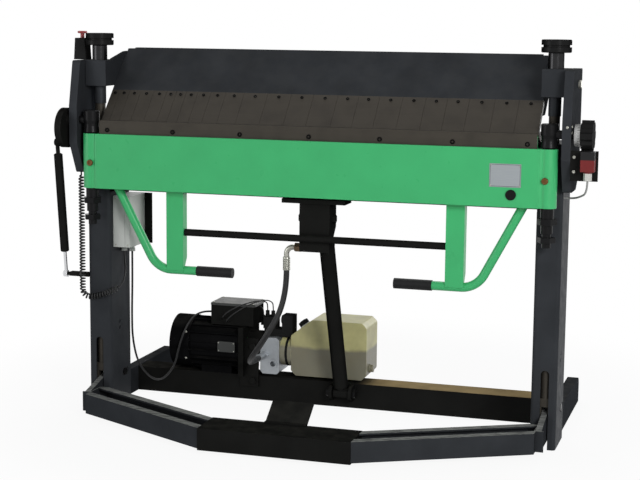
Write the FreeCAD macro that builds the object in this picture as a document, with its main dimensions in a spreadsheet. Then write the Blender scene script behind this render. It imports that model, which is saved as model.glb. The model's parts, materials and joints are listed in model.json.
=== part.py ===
import FreeCAD, Part
import math
import os
import re
import Sketcher

V = FreeCAD.Vector
doc = FreeCAD.newDocument("FoldingMachine")

# Frame of the part: +X to the right, +Y to the back, +Z up, lengths in millimetres.
# The origin is on the floor, under the middle of the rear cross beam.
# Every size below becomes a cell of the sheet, and the objects are bound to its cells.

# Bend axis
working_length = 1250
bend_reach = 340
bend_height = 862

# Columns
column_overlap = 5
column_width = 70
column_depth = 138
column_front = 40
column_drop = 28
column_wall = 6
column_corner = 10
column_cap = 8

# Column slot
slot_width = 23
slot_top = 220

# Column holes
hole_back = 63
hole_low = 239
hole_high = 257
hole_radius = 6

# Treadle pivot
pivot_back = 104
pivot_z = 97
pivot_radius = 11
pivot_slot = 46

# Running fit
running_gap = 0.05
body_gap = 0.5
spindle_play = 1.5

# End plates
plate_thick = 24
plate_rise = 168
plate_top_front = 3
plate_nose = 24
plate_upper_rise = 38
plate_lower_drop = 67
plate_foot_front = 19
plate_drop = 154
plate_foot_rear = 106
plate_rear = 166
plate_rear_drop = 112
plate_round = 8

# Plate bolts
plate_bolt_y = 96
plate_bolt_drop = 40
plate_bolt_flats = 19
plate_bolt_head = 8

# Rear feet
foot_width = 32
foot_height = 78
foot_length = 430
foot_reach = 60
foot_round = 25

# Rear cross beam
cross_depth = 80
cross_height = 75
cross_wall = 6

# Cylinder clevis
clevis_reach = 25
clevis_z = 50
clevis_x = 19
lug_thick = 10
lug_round = 24
clevis_gap = 50
clevis_pin_radius = 8
pin_flats = 24
pin_head = 9

# Lower beam
lower_ahead = 4
lower_depth = 94
lower_drop = 110
lower_wall = 8
bed_excess = 2
bed_depth = 90
bed_thick = 24
bed_nose = 10

# Upper beam
face_angle = 46.5
blade_length = 114
blade_thick = 16
cover_length = 163
cover_thick = 3
cover_corner = 24
upper_wall = 10
upper_rear = 212
upper_low_rise = 43
upper_rear_rise = 123
upper_knee = 112
jaw_gap = 0.4
nose_y = 2

# Blade segments
segment_gap = 0.6
segment_screw_inset = 12
segment_screw_radius = 4.5
segment_screw_head = 2.5

# End blocks
block_inset = 5
block_width = 63
block_ahead = 7
block_depth = 117
block_height = 73
block_boss_radius = 17
block_boss_length = 51

# Tie spindles
spindle_inset = 37
spindle_back = 25
spindle_radius = 15
spindle_shaft = 12
spindle_shaft_rise = 24
fork_width = 32
fork_depth = 28
fork_bottom = 40
fork_top = 140
fork_gap = 18
fork_crotch = 116
fork_pin_radius = 6
fork_pin_z = 57

# Top knobs
stem_radius = 21
stem_rise = 42
knob_radius = 40
knob_thick = 34
knob_groove = 5
knob_groove_width = 6
knob_edge = 2

# Lift bar
lift_drop = 205
lift_height = 40
lift_depth = 36
lift_reach = 54
lift_slot_drop = 112
lift_slot_play = 7

# Lift bracket
tee_width = 184
tee_depth = 66
tee_thick = 12
head_width = 88
head_thick = 8
head_ahead = 19
head_length = 150
head_depth = 66
ear_thick = 8
ear_rear_drop = 82
lift_spacer_radius = 12

# Lift pin
lift_pin_back = 13
lift_pin_drop = 57
lift_pin_radius = 8
lift_eye_gap = 1

# Hydraulic cylinder
barrel_radius = 22
barrel_start = 26
barrel_end = 498
gland_radius = 23
gland_length = 12
cylinder_wall = 5
cylinder_rod_radius = 12.5
rod_depth = 140
piston_length = 20
eye_radius = 17
barrel_eye_width = 44
rod_eye_width = 30
port_below = 11
port_radius = 8
port_nut_near = 77
port_nut_far = 96
port_nut_flats = 24
elbow_reach = 121
ferrule_radius = 11
ferrule_top = 28
ferrule_length = 40
barrel_neck_radius = 13
rod_end_gap = 2

# Treadle
treadle_top = 75
treadle_bottom = 18
pedal_half = 212
pedal_front = 312
pedal_rear = 193
pedal_bottom = 15
arm_width = 98
arm_wall = 5
arm_lip = 26
arm_reach = 30
lever_thick = 16
lever_front = 44
lever_bottom = 20
lever_hub = 24
lever_slot_radius = 8
lever_slot_travel = 9.2
lever_slot_angle = 29.4
arm_angle = 28
arm_rear_y = 197
arm_limit = 20
tread_width = 117
tread_length = 75
tread_thick = 5
tread_angle = 35

# Pivot heads
spindle_thread = 12
head_rise = 28
head_drop = 36
head_radius = 23
head_waist = 21
pivot_pin_radius = 12
lock_nut_drop = 24
lock_nut_height = 14
lock_nut_flat = 42
waist_drop = 17
waist_length = 6
waist_flare = 10
head_edge = 2
head_dome = 3

# Crank disc
disc_radius = 57
disc_y = -8
disc_drop = 24
disc_gap = 8
disc_thick = 19
hub_radius = 22
stud_drop = 68
stud_radius = 6

# Angle dial
dial_gap = 8
dial_width = 15
dial_radius = 29
dial_marks = 24
mark_width = 1.2
mark_depth = 1.5

# Stop knob
stop_gap = 2
stop_width = 31
stop_radius = 40
stop_flutes = 8
flute_radius = 9
flute_depth = 5.4
stop_cap = 8

# Folding beam
beam_top_drop = 38
beam_height = 156
beam_front = 24
beam_depth = 52
beam_wall = 8
tube_radius = 24
beam_lap = 4

# Folding rail
rail_front = 14
rail_thick = 6
rail_height = 38
carrier_rear = 0.5
carrier_drop = 4
rail_screw_count = 7
rail_screw_pitch = 200
rail_screw_drop = 26.5
rail_screw_radius = 6.5
rail_screw_head = 3

# Beam trim
bolt_drop = 121
bolt_head = 9
bolt_proud = 5
label_inset = 110
label_drop = 72
label_width = 84
label_height = 62
label_thick = 1.2
plug_inset = 94
plug_rise = 33
plug_radius = 14
plug_proud = 3
bolt_inset = 5

# Handles
handle_y = 29
handle_radius = 12.5
handle_top_inset = 67
handle_drop = 231
bar_inset = 274
bar_width = 51
bar_depth = 30
bar_cut = 24
grip_inset = 312
grip_length = 107
grip_radius = 14.5
cross_rod_rise = 110
cross_rod_radius = 10
handle_bend_inset = 189
handle_bend_radius = 70
bar_cut_height = 36

# Beam adjusters
collar_radius = 18
collar_length = 28
hex_flat = 46
hex_height = 16
sleeve_radius = 16
sleeve_length = 24

# Gas spring
spring_clear = 23
spring_eye_y = 46
spring_drop = 459
spring_eye_radius = 10
spring_eye_width = 12
spring_pin_radius = 5
spring_rod_radius = 5
spring_tube_radius = 12.5
spring_tube_start = 68
spring_tube_end = 358
spring_neck_radius = 6
spring_bar_height = 12
spring_bar_depth = 20
spring_bar_front = 5
spring_wall = 2
spring_gland = 14
spring_cap = 4
spring_piston = 8
spring_pin_proud = 3
spring_pin_root = 4

# Stop button
estop_offset = 13
estop_y = 98
estop_half = 19
estop_top_half = 15
estop_height = 62
button_radius = 14
button_cap = 7
button_stem = 6
button_gap = 9
button_rise = 20
button_neck = 11
button_skirt = 2
button_edge = 2

# Limit switch
bracket_thick = 4
bracket_front = 24
bracket_width = 72
bracket_height = 79
bracket_drop = 38
switch_offset = 30
switch_width = 36
switch_depth = 32
switch_rise = 27
switch_height = 52
gland_tall = 24
gland_flats = 19

# Electric box
box_near = 64
box_depth = 110
box_width = 52
box_drop = 375
box_height = 150
box_lid = 16
box_gland_drop = 18
box_plate_thick = 4
box_plate_width = 75
gland_left_inset = 10
gland_right_inset = 35
gland_y = 119
box_seam = 1
box_gland_flats = 17
box_gland_stem = 7

# Power unit
motor_x = -530
motor_length = 222
motor_back = 8
motor_rise = 85
motor_radius = 72
fin_radius = 80
fin_thick = 2.5
fan_length = 62
fan_radius = 81
terminal_offset = 125
terminal_length = 136
terminal_depth = 96
terminal_rise = 66
terminal_height = 66
fin_count = 18
fan_slot_count = 5
fan_slot_pitch = 26
fan_slot_length = 97
fan_slot_height = 5
fan_slot_depth = 3

# Pump
flange_thick = 16
flange_width = 150
flange_height = 166
flange_foot_thick = 8
flange_foot_low = 42
flange_foot_width = 58
bell_radius = 46
bell_length = 46
pump_width = 60
pump_rise = 9
pump_height = 112
pump_depth = 96
pump_port_offset = 12
pump_port_rise = 58
pump_port_length = 10
pump_port_flats = 24
open_port_offset = 41
open_port_rise = 32
open_port_radius = 13
apron_rise = 32
apron_bolt_x = 42
apron_bolt_low = 61
apron_bolt_high = 168
pump_chamfer = 8
port_ring = 3
open_port_bore = 8.5
open_port_depth = 20

# Valve
valve_width = 34
valve_depth = 44
valve_height = 66
manifold_height = 22
coil_length = 40
coil_depth = 40
coil_height = 36
stub_radius = 6
stub_height = 16
stub_near = 7
stub_far = 25
manifold_inset = 4
valve_cap_radius = 12
valve_cap_length = 6
valve_cap_rise = 49
shelf_width = 12
shelf_bottom = 225
shelf_height = 14
shelf_depth = 16
stub_side = 6

# Oil tank
neck_length = 36
tank_length = 236
tank_inset = 6
tank_depth = 124
tank_height = 174
tank_wall = 4
neck_radius = 45
cap_radius = 15
cap_length = 16
drain_radius = 11
drain_length = 12
tank_chamfer = 15
tank_round = 10
tank_slope_run = 66
tank_slope_drop = 51
neck_drop = 10
drain_rise = 30

# Cords
hose_radius = 8.5
cable_radius = 3
wire_radius = 1.8
switch_cable_radius = 2.6
curl_cable_radius = 2.3
curl_outer_radius = 9
curl_y = 26
curl_count = 54

# Places that follow from the sizes above: each is a formula in the sheet
placed = {
    "column_inner": "working_length / 2 - column_overlap",
    "column_height": "bend_height - column_drop",
    "plate_outer": "column_inner + column_width + plate_thick",
    "upper_length": "working_length",
    "rail_length": "working_length",
    "bed_length": "working_length + 2 * bed_excess",
    "block_inner": "column_inner + block_inset",
    "spindle_x": "column_inner + spindle_inset",
    "head_x": "column_inner + column_width / 2",
    "foot_outer": "column_inner + foot_reach",
    "lift_end": "column_inner + lift_reach",
    "arm_outer_x": "column_inner + arm_reach",
    "spindle_y": "column_front + spindle_back",
    "hole_y": "column_front + hole_back",
    "pivot_y": "column_front + pivot_back",
    "lower_front": "column_front - lower_ahead",
    "block_front": "column_front - block_ahead",
    "head_front": "spindle_y - head_ahead",
    "lift_pin_y": "spindle_y + lift_pin_back",
    "plate_top": "bend_height + plate_rise",
    "plate_upper": "bend_height + plate_upper_rise",
    "plate_lower": "bend_height - plate_lower_drop",
    "plate_bottom": "bend_height - plate_drop",
    "plate_rear_low": "bend_height - plate_rear_drop",
    "plate_bolt_z": "plate_top - plate_bolt_drop",
    "lower_bottom": "bend_height - lower_drop",
    "upper_low": "bend_height + upper_low_rise",
    "upper_rear_low": "bend_height + upper_rear_rise",
    "block_bottom": "plate_top - block_height",
    "block_boss_bottom": "block_bottom - block_boss_length",
    "stem_top": "plate_top + stem_rise",
    "spindle_shaft_top": "stem_top + spindle_shaft_rise",
    "lift_bottom": "bend_height - lift_drop",
    "lift_slot_top": "bend_height - lift_slot_drop",
    "lift_slot_bottom": "lift_bottom - lift_slot_play",
    "head_bottom": "lift_bottom - head_length",
    "ear_rear_bottom": "lift_bottom - ear_rear_drop",
    "lift_pin_z": "lift_bottom - lift_pin_drop",
    "clevis_y": "bend_reach - cross_depth / 2 - clevis_reach",
    "port_rise": "barrel_end - port_below",
    "head_top": "bend_height + head_rise",
    "head_low": "bend_height - head_drop",
    "beam_top": "bend_height - beam_top_drop",
    "beam_bottom": "beam_top - beam_height",
    "carrier_top": "bend_height - carrier_drop",
    "collar_top": "beam_bottom - body_gap",
    "collar_bottom": "beam_bottom - collar_length",
    "hex_bottom": "collar_bottom - hex_height",
    "sleeve_bottom": "hex_bottom - sleeve_length",
    "lock_nut_bottom": "sleeve_bottom - lock_nut_drop",
    "label_x": "head_x - label_inset",
    "label_z": "beam_top - label_drop",
    "plug_x": "head_x - plug_inset",
    "plug_z": "beam_bottom + plug_rise",
    "handle_top_x": "head_x - handle_top_inset",
    "handle_bend_x": "head_x - handle_bend_inset",
    "bar_inner": "head_x - bar_inset",
    "grip_outer": "head_x - grip_inset",
    "grip_inner": "grip_outer - grip_length",
    "handle_low_z": "beam_bottom - handle_drop",
    "cross_rod_z": "handle_low_z + cross_rod_rise",
    "disc_inner": "plate_outer + disc_gap",
    "disc_outer": "disc_inner + disc_thick",
    "pivot_pin_end": "disc_outer",
    "dial_inner": "plate_outer + dial_gap",
    "dial_outer": "dial_inner + dial_width",
    "stop_inner": "dial_outer + stop_gap",
    "stop_outer": "stop_inner + stop_width",
    "pivot_pin_tip": "stop_outer - stop_cap",
    "spring_x": "disc_outer + spring_clear",
    "stud_end": "spring_x - spring_eye_width / 2 - body_gap",
    "spring_eye_z": "bend_height - spring_drop",
    "spring_bar_end": "spring_x - spring_eye_width",
    "estop_x": "plate_outer + estop_offset",
    "estop_top": "plate_top + estop_height",
    "button_top": "estop_top + button_rise",
    "bracket_end": "plate_outer + bracket_width",
    "bracket_top": "bend_height - bracket_drop",
    "bracket_bottom": "bracket_top - bracket_height",
    "switch_inner": "plate_outer + switch_offset",
    "switch_bottom": "bracket_bottom + switch_rise",
    "box_bottom": "bend_height - box_drop",
    "gland_left_x": "column_inner - gland_left_inset",
    "gland_right_x": "column_inner - gland_right_inset",
    "motor_y": "bend_reach + motor_back",
    "motor_z": "cross_height + motor_rise",
    "terminal_x": "motor_x + terminal_offset",
    "terminal_bottom": "motor_z + terminal_rise",
    "flange_x": "motor_x + motor_length",
    "pump_x": "flange_x + flange_thick + bell_length",
    "pump_bottom": "cross_height + pump_rise",
    "pump_front": "bend_reach - cross_depth / 2",
    "pump_port_x": "pump_x + pump_port_offset",
    "pump_port_z": "pump_bottom + pump_port_rise",
    "pump_port_near": "pump_front - pump_port_length",
    "open_port_x": "pump_x + open_port_offset",
    "open_port_z": "pump_bottom + open_port_rise",
    "valve_x": "pump_x + pump_width",
    "tank_x": "pump_x + pump_width + neck_length",
    "tank_front": "pump_front + tank_inset",
    "tank_bottom": "pump_bottom",
    "curl_x": "column_inner + column_width + plate_thick / 2",
}

own_sizes = {name: value for name, value in globals().items() if isinstance(value, (int, float))}
sheet = doc.addObject("Spreadsheet::Sheet", "Sizes")
size_names = []
for name, value in list(own_sizes.items()) + [(name, "=" + text) for name, text in placed.items()]:
    size_names.append(name)
    sheet.set(f"A{len(size_names)}", name)
    sheet.set(f"B{len(size_names)}", str(value))
    sheet.setAlias(f"B{len(size_names)}", name)


doc.recompute()

word = re.compile(r"[a-z_]+")
scratch_cell = "D1"


def bound(text):
    # An expression of the sheet's names, such as "column_inner + column_wall".
    def to_cell(found):
        name = found.group()
        return f"Sizes.{name}" if name in size_names else name
    return word.sub(to_cell, str(text))


def number(text):
    # The present value of such an expression, worked out by the sheet itself.
    sheet.set(scratch_cell, "=" + str(text))
    sheet.recompute()
    found = sheet.get(scratch_cell)
    sheet.clear(scratch_cell)
    return float(getattr(found, "Value", found))


def bind(item, **properties):
    for name, text in properties.items():
        item.setExpression(name, bound(text))


def place(item, x, y, z, turn=None):
    # turn is a fixed axis and an angle, which may be an expression as well.
    if turn:
        axis, angle = turn
        item.Placement = FreeCAD.Placement(V(0, 0, 0), FreeCAD.Rotation(axis, number(angle)))
        if isinstance(angle, str):
            item.setExpression(".Placement.Rotation.Angle", bound(angle))
    for name, text in (("x", x), ("y", y), ("z", z)):
        item.setExpression(".Placement.Base." + name, bound(text))
    return item


def block(label, x, y, z, length, width, height):
    item = doc.addObject("Part::Box", label)
    bind(item, Length=length, Width=width, Height=height)
    return place(item, x, y, z)


ALONG = {"x": (V(0, 1, 0), 90), "y": (V(1, 0, 0), -90), "z": None}


def bar(label, axis, x, y, z, radius, length):
    # A round bar that starts at the given point and runs along a positive axis.
    item = doc.addObject("Part::Cylinder", label)
    bind(item, Radius=radius, Height=length)
    return place(item, x, y, z, ALONG[axis])


def hexagon(label, axis, x, y, z, across_flats, length):
    item = doc.addObject("Part::Prism", label)
    item.Polygon = 6
    bind(item, Circumradius=f"({across_flats}) / sqrt(3)", Height=length)
    return place(item, x, y, z, ALONG[axis])


def cut(label, base, *tools):
    item = doc.addObject("Part::Cut", label)
    item.Base = base
    item.Tool = tools[0] if len(tools) == 1 else fuse(label + "_tools", *tools)
    return item


def fuse(label, *parts):
    item = doc.addObject("Part::MultiFuse", label)
    item.Shapes = list(parts)
    return item


def group(label, *parts):
    # Separate solids under one name.
    item = doc.addObject("Part::Compound", label)
    item.Links = list(parts)
    return item


def mirrored(label, source):
    item = doc.addObject("Part::Mirroring", label)
    item.Source = source
    item.Normal = V(1, 0, 0)
    return item


def origin_plane(body, role):
    return [item for item in body.Origin.OriginFeatures if item.Role == role][0]


def add_loop(sketch, points):
    # A closed outline whose every corner is held by two named sizes.
    first = sketch.GeometryCount
    corners = [V(number(a), number(b), 0) for a, b in points]
    count = len(corners)
    for index in range(count):
        line = Part.LineSegment(corners[index], corners[(index + 1) % count])
        sketch.addGeometry(line, False)
    for index in range(count):
        following = first + (index + 1) % count
        sketch.addConstraint(Sketcher.Constraint("Coincident", first + index, 2, following, 1))
    for index, (a, b) in enumerate(points):
        for kind, text, value in (("DistanceX", a, corners[index].x),
                                  ("DistanceY", b, corners[index].y)):
            held = sketch.addConstraint(Sketcher.Constraint(kind, -1, 1, first + index, 1, value))
            sketch.setExpression(f"Constraints[{held}]", bound(text))


def sketched(label, role, *loops):
    body = doc.addObject("PartDesign::Body", label)
    sketch = body.newObject("Sketcher::SketchObject", label + "_outline")
    sketch.AttachmentSupport = (origin_plane(body, role), [""])
    sketch.MapMode = "FlatFace"
    for points in loops:
        add_loop(sketch, points)
    return body, sketch


def round_edges(body, base, label, chosen, radius):
    doc.recompute()
    names = [f"Edge{index + 1}" for index, edge in enumerate(base.Shape.Edges) if chosen(edge)]
    fillet = body.newObject("PartDesign::Fillet", label)
    fillet.Base = (base, names)
    bind(fillet, Radius=radius)
    return fillet


def prism(label, role, loops, length, at=("0", "0", "0"), rounding=None):
    # Outlines on an origin plane, padded: YZ_Plane pads to +X, XY_Plane to +Z, XZ_Plane to -Y.
    body, sketch = sketched(label, role, *loops)
    pad = body.newObject("PartDesign::Pad", label + "_pad")
    pad.Profile = sketch
    bind(pad, Length=length)
    if rounding:
        chosen, radius = rounding
        round_edges(body, pad, label + "_round", chosen, radius)
    return place(body, *at)


def turned(label, points, at, turn=None):
    # Points are radius and height; the outline is turned about its own height axis.
    body, sketch = sketched(label, "XZ_Plane", points)
    spin = body.newObject("PartDesign::Revolution", label + "_spin")
    spin.Profile = sketch
    spin.ReferenceAxis = (sketch, ["V_Axis"])
    spin.Angle = 360
    return place(body, *at, turn)


def edge_along(direction):
    def chosen(edge):
        if not isinstance(edge.Curve, Part.Line):
            return False
        return abs(abs(edge.Curve.Direction.dot(direction)) - 1) < 1e-6
    return chosen


def both_sides(label, source):
    # The right-hand piece and its mirror image, as two solids under one name.
    return group(label, source, mirrored(source.Name + "_mirror", source))


AXIS_Y = "-bend_reach"
AXIS_Z = "bend_height"
COLUMN_Y = "column_front - bend_reach"
COLUMN_OUTER = "column_inner + column_width"
PLATE_INNER = COLUMN_OUTER
PLATE_OUTER = f"{COLUMN_OUTER} + plate_thick"


def behind(offset):
    # A place measured backwards from the bend axis.
    return f"{offset} - bend_reach"


def slope(along, depth="0"):
    # A point of the upper beam's slanted front: along the slope, and below its surface.
    y = f"nose_y - bend_reach + ({along}) * cos(face_angle) + ({depth}) * sin(face_angle)"
    z = f"bend_height + jaw_gap + ({along}) * sin(face_angle) - ({depth}) * cos(face_angle)"
    return y, z


# Columns, end plates and feet

def slot_along_x(label, x, y, z, length, span, radius):
    # A slot with round ends: the span is measured over the ends, along Y.
    middle = block(label + "_middle", x, f"{y} - ({span}) / 2 + {radius}", f"{z} - {radius}",
                   length, f"{span} - 2 * {radius}", f"2 * {radius}")
    front = bar(label + "_front", "x", x, f"{y} - ({span}) / 2 + {radius}", z, radius, length)
    rear = bar(label + "_rear", "x", x, f"{y} + ({span}) / 2 - {radius}", z, radius, length)
    return fuse(label, middle, front, rear)


def column():
    inner = "column_inner"
    outer = COLUMN_OUTER
    front = COLUMN_Y
    rear = f"{COLUMN_Y} + column_depth"
    wall = "column_wall"
    outside = [(inner, front), (outer, front), (outer, rear), (inner, rear)]
    inside = [(f"{inner} + {wall}", f"{front} + {wall}"), (f"{outer} - {wall}", f"{front} + {wall}"),
              (f"{outer} - {wall}", f"{rear} - {wall}"), (f"{inner} + {wall}", f"{rear} - {wall}")]
    upright = edge_along(V(0, 0, 1))
    front_y = number(front)

    def front_corner(edge):
        return upright(edge) and abs(edge.CenterOfMass.y - front_y) < 0.1

    tube = prism("column_tube", "XY_Plane", [outside, inside], "column_height - column_cap",
                 rounding=(front_corner, "column_corner"))
    lid = block("column_lid", inner, front, "column_height - column_cap", "column_width",
                "column_depth", "column_cap")
    lid_hole = bar("column_lid_hole", "z", "spindle_x", behind("spindle_y"),
                   "column_height - 2 * column_cap", "spindle_radius + spindle_play", "3 * column_cap")
    front_slot = block("column_slot", "spindle_x - slot_width / 2", f"{front} - 1", "-1",
                       "slot_width", "column_wall + 2", "slot_top - slot_width / 2 + 1")
    slot_arch = bar("column_slot_arch", "y", "spindle_x", f"{front} - 1",
                    "slot_top - slot_width / 2", "slot_width / 2", "column_wall + 2")
    lift_slot = block("column_lift_slot", f"{inner} - 1", f"{front} + {wall}",
                      "lift_slot_bottom", "column_wall + 2", "lift_depth + 4",
                      "lift_slot_top - lift_slot_bottom")
    holes = [bar(f"column_hole_{name}", "x", f"{inner} - 1", behind("hole_y"), name,
                 "hole_radius", "column_width + 2") for name in ("hole_low", "hole_high")]
    pivot = slot_along_x("column_pivot_slot", f"{inner} - 1", behind("pivot_y"), "pivot_z",
                         "column_width + 2", "pivot_slot", "pivot_radius")
    whole = fuse("column_whole", tube, cut("column_lid_bored", lid, lid_hole))
    return cut("column_right", whole, front_slot, slot_arch, lift_slot, *holes, pivot)


column_right = column()
mirrored("column_left", column_right)


def end_plate():
    outline = [(behind("plate_top_front"), "plate_top"), (behind("0 - plate_nose"), "plate_upper"),
               (behind("0 - plate_nose"), "plate_lower"),
               (behind("plate_foot_front"), "plate_bottom"),
               (behind("plate_foot_rear"), "plate_bottom"),
               (behind("plate_rear"), "plate_rear_low"), (behind("plate_rear"), "plate_top")]
    plate = prism("plate_blank", "YZ_Plane", [outline], "plate_thick", (PLATE_INNER, "0", "0"),
                  rounding=(edge_along(V(1, 0, 0)), "plate_round"))
    bore = bar("plate_bore", "x", f"{PLATE_INNER} - 1", AXIS_Y, AXIS_Z,
               "pivot_pin_radius + running_gap", "plate_thick + 2")
    return cut("end_plate_right", plate, bore)


end_plate_right = end_plate()
mirrored("end_plate_left", end_plate_right)

plate_bolt = hexagon("plate_bolt", "x", PLATE_OUTER, behind("plate_bolt_y"), "plate_bolt_z",
                     "plate_bolt_flats", "plate_bolt_head")
both_sides("frame_bolts", plate_bolt)


def rear_foot():
    inner = "foot_outer - foot_width"
    start = f"{COLUMN_Y} + column_depth"
    outside = [(start, "0"), (f"{start} + foot_length", "0"),
               (f"{start} + foot_length", "foot_height"), (start, "foot_height")]
    rear_y = number(f"{start} + foot_length")
    top_z = number("foot_height")

    def rear_top(edge):
        place_of = edge.CenterOfMass
        return abs(place_of.y - rear_y) < 0.1 and abs(place_of.z - top_z) < 0.1

    foot = prism("foot_blank", "YZ_Plane", [outside], "foot_width", (inner, "0", "0"),
                 rounding=(rear_top, "foot_round"))
    hollow = block("foot_hollow", f"{inner} + cross_wall", f"{start} - 1", "cross_wall",
                   "foot_width - 2 * cross_wall", "foot_length - foot_round",
                   "foot_height - 2 * cross_wall")
    return cut("foot_right", foot, hollow)


both_sides("rear_feet", rear_foot())


def rectangle(y, z, width, height):
    return [(y, z), (f"{y} + {width}", z), (f"{y} + {width}", f"{z} + {height}"),
            (y, f"{z} + {height}")]


def inset_rectangle(y, z, width, height, wall):
    return rectangle(f"{y} + {wall}", f"{z} + {wall}", f"{width} - 2 * {wall}",
                     f"{height} - 2 * {wall}")


def rear_cross_beam():
    half = "(foot_outer - foot_width)"
    front = "0 - cross_depth / 2"
    shape = (front, "0", "cross_depth", "cross_height")
    tube = prism("cross_tube", "YZ_Plane", [rectangle(*shape), inset_rectangle(*shape, "cross_wall")],
                 f"2 * {half}", (f"0 - {half}", "0", "0"))
    lugs = []
    for side, x in (("left", "clevis_x - clevis_gap / 2 - lug_thick"),
                    ("right", "clevis_x + clevis_gap / 2")):
        y = behind("clevis_y")
        base = block("lug_base_" + side, x, y, "clevis_z - lug_round", "lug_thick",
                     f"0 - cross_depth / 2 - ({y})", "2 * lug_round")
        nose = bar("lug_nose_" + side, "x", x, y, "clevis_z", "lug_round", "lug_thick")
        hole = bar("lug_hole_" + side, "x", f"{x} - 1", y, "clevis_z", "clevis_pin_radius",
                   "lug_thick + 2")
        lugs.append(cut("lug_" + side, fuse("lug_blank_" + side, base, nose), hole))
    return fuse("rear_cross_beam", tube, *lugs)


rear_cross_beam()


def pin_with_ends(label, y, z, left, right, radius, flats, head):
    # A bolt along X between two outer faces, with its head on the left and its nut on the right.
    shank = bar(label + "_shank", "x", left, y, z, radius, f"{right} - ({left}) + {head}")
    bolt_head = hexagon(label + "_head", "x", f"{left} - {head}", y, z, flats, head)
    nut_blank = hexagon(label + "_nut_blank", "x", right, y, z, flats, head)
    nut = cut(label + "_nut", nut_blank, shank)
    return group(label, fuse(label + "_bolt", shank, bolt_head), nut)


clevis_pin = pin_with_ends("clevis_pin", behind("clevis_y"), "clevis_z",
                           "clevis_x - clevis_gap / 2 - lug_thick",
                           "clevis_x + clevis_gap / 2 + lug_thick", "clevis_pin_radius",
                           "pin_flats", "pin_head")

treadle_pin = bar("treadle_pin", "x", "column_inner", behind("pivot_y"), "pivot_z",
                  "pivot_radius", "column_width")
group("frame_pins", treadle_pin, mirrored("treadle_pin_left", treadle_pin), clevis_pin)


# Lower beam with its bed

def lower_beam():
    shape = (behind("lower_front"), "lower_bottom", "lower_depth",
             "bend_height - bed_thick - lower_bottom")
    return prism("lower_beam", "YZ_Plane",
                 [rectangle(*shape), inset_rectangle(*shape, "lower_wall")],
                 "2 * column_inner", ("0 - column_inner", "0", "0"))


lower_beam()

bed_front = behind("carrier_rear")
bed_outline = [(bed_front, AXIS_Z), (bed_front, f"{AXIS_Z} - bed_nose"),
               (behind("lower_front"), f"{AXIS_Z} - bed_thick"),
               (f"{bed_front} + bed_depth", f"{AXIS_Z} - bed_thick"),
               (f"{bed_front} + bed_depth", AXIS_Z)]
prism("lower_blade", "YZ_Plane", [bed_outline], "bed_length", ("0 - bed_length / 2", "0", "0"))


# Upper beam: hollow girder, cover, segmented blade and its screws

def upper_beam():
    rear = behind("upper_rear")
    blade_back = "blade_thick"
    rise = f"({slope('0')[1]})"
    low_start = f"(upper_low - {rise} + blade_thick * cos(face_angle)) / sin(face_angle)"
    cover_end = "blade_length + cover_length"
    outside = [slope(low_start, blade_back), slope("blade_length", blade_back),
               slope("blade_length", "cover_thick"), slope(cover_end, "cover_thick"),
               (rear, slope(cover_end, "cover_thick")[1]), (rear, "upper_rear_low"),
               (behind("upper_knee"), "upper_low")]
    wall = "upper_wall"
    inside = [slope(f"{low_start} + 1.6 * {wall}", f"{blade_back} + {wall}"),
              slope(f"{cover_end} - 1.2 * {wall}", f"cover_thick + {wall}"),
              (f"{rear} - {wall}", f"{slope(cover_end, 'cover_thick')[1]} - {wall}"),
              (f"{rear} - {wall}", f"upper_rear_low + 0.6 * {wall}"),
              (f"{behind('upper_knee')} - 0.3 * {wall}", f"upper_low + {wall}")]
    girder = prism("girder", "YZ_Plane", [outside], "upper_length",
                   ("0 - upper_length / 2", "0", "0"))
    hollow = prism("girder_hollow", "YZ_Plane", [inside], f"upper_length - 2 * {wall}",
                   (f"{wall} - upper_length / 2", "0", "0"))
    return cut("upper_beam", girder, hollow)


upper_beam()


def upper_cover():
    half = "upper_length / 2"
    start = "blade_length"
    end = "blade_length + cover_length"
    corner = "cover_corner"
    outline = [(f"0 - {half}", start), (half, start), (half, f"{end} - {corner}"),
               (f"{half} - {corner}", end), (f"{corner} - {half}", end),
               (f"0 - {half}", f"{end} - {corner}")]
    y, z = slope("0", "cover_thick")
    front = prism("cover_front", "XY_Plane", [outline], "cover_thick",
                  ("0", y, z, (V(1, 0, 0), "face_angle")))
    top_y, top_z = slope(end, "cover_thick")
    top = block("cover_top", f"{corner} - {half}", f"{top_y} - cover_thick", top_z,
                f"upper_length - 2 * {corner}",
                f"{behind('upper_rear')} - ({top_y}) + cover_thick", "cover_thick")
    return fuse("upper_cover", front, top)


upper_cover()

# Widths of the segments from left to right, as shares of the whole blade.
segment_shares = [5, 6, 7, 8, 8, 6, 6, 7, 8, 9, 11, 14, 14, 13, 14, 12, 12, 13, 13, 12, 12, 14, 13, 13]
share_total = sum(segment_shares)


def blade_x(shares):
    # The place along the blade after so many shares of its length.
    return f"upper_length * ({shares / share_total} - 0.5)"


def blade_segments():
    y, z = slope("0")
    outline = [(y, z), slope("blade_length"), slope("blade_length", "blade_thick"),
               (f"{y} + blade_thick / sin(face_angle)", z)]
    whole = prism("blade_blank", "YZ_Plane", [outline], "upper_length",
                  ("0 - upper_length / 2", "0", "0"))
    joints = []
    passed = 0
    for index, share in enumerate(segment_shares[:-1]):
        passed += share
        joints.append(block(f"blade_joint_{index}", f"{blade_x(passed)} - segment_gap / 2",
                            f"{y} - 1", f"{z} - 1", "segment_gap", "blade_length + blade_thick",
                            "blade_length + blade_thick"))
    return cut("blade_segments", whole, *joints)


blade_segments()


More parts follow.
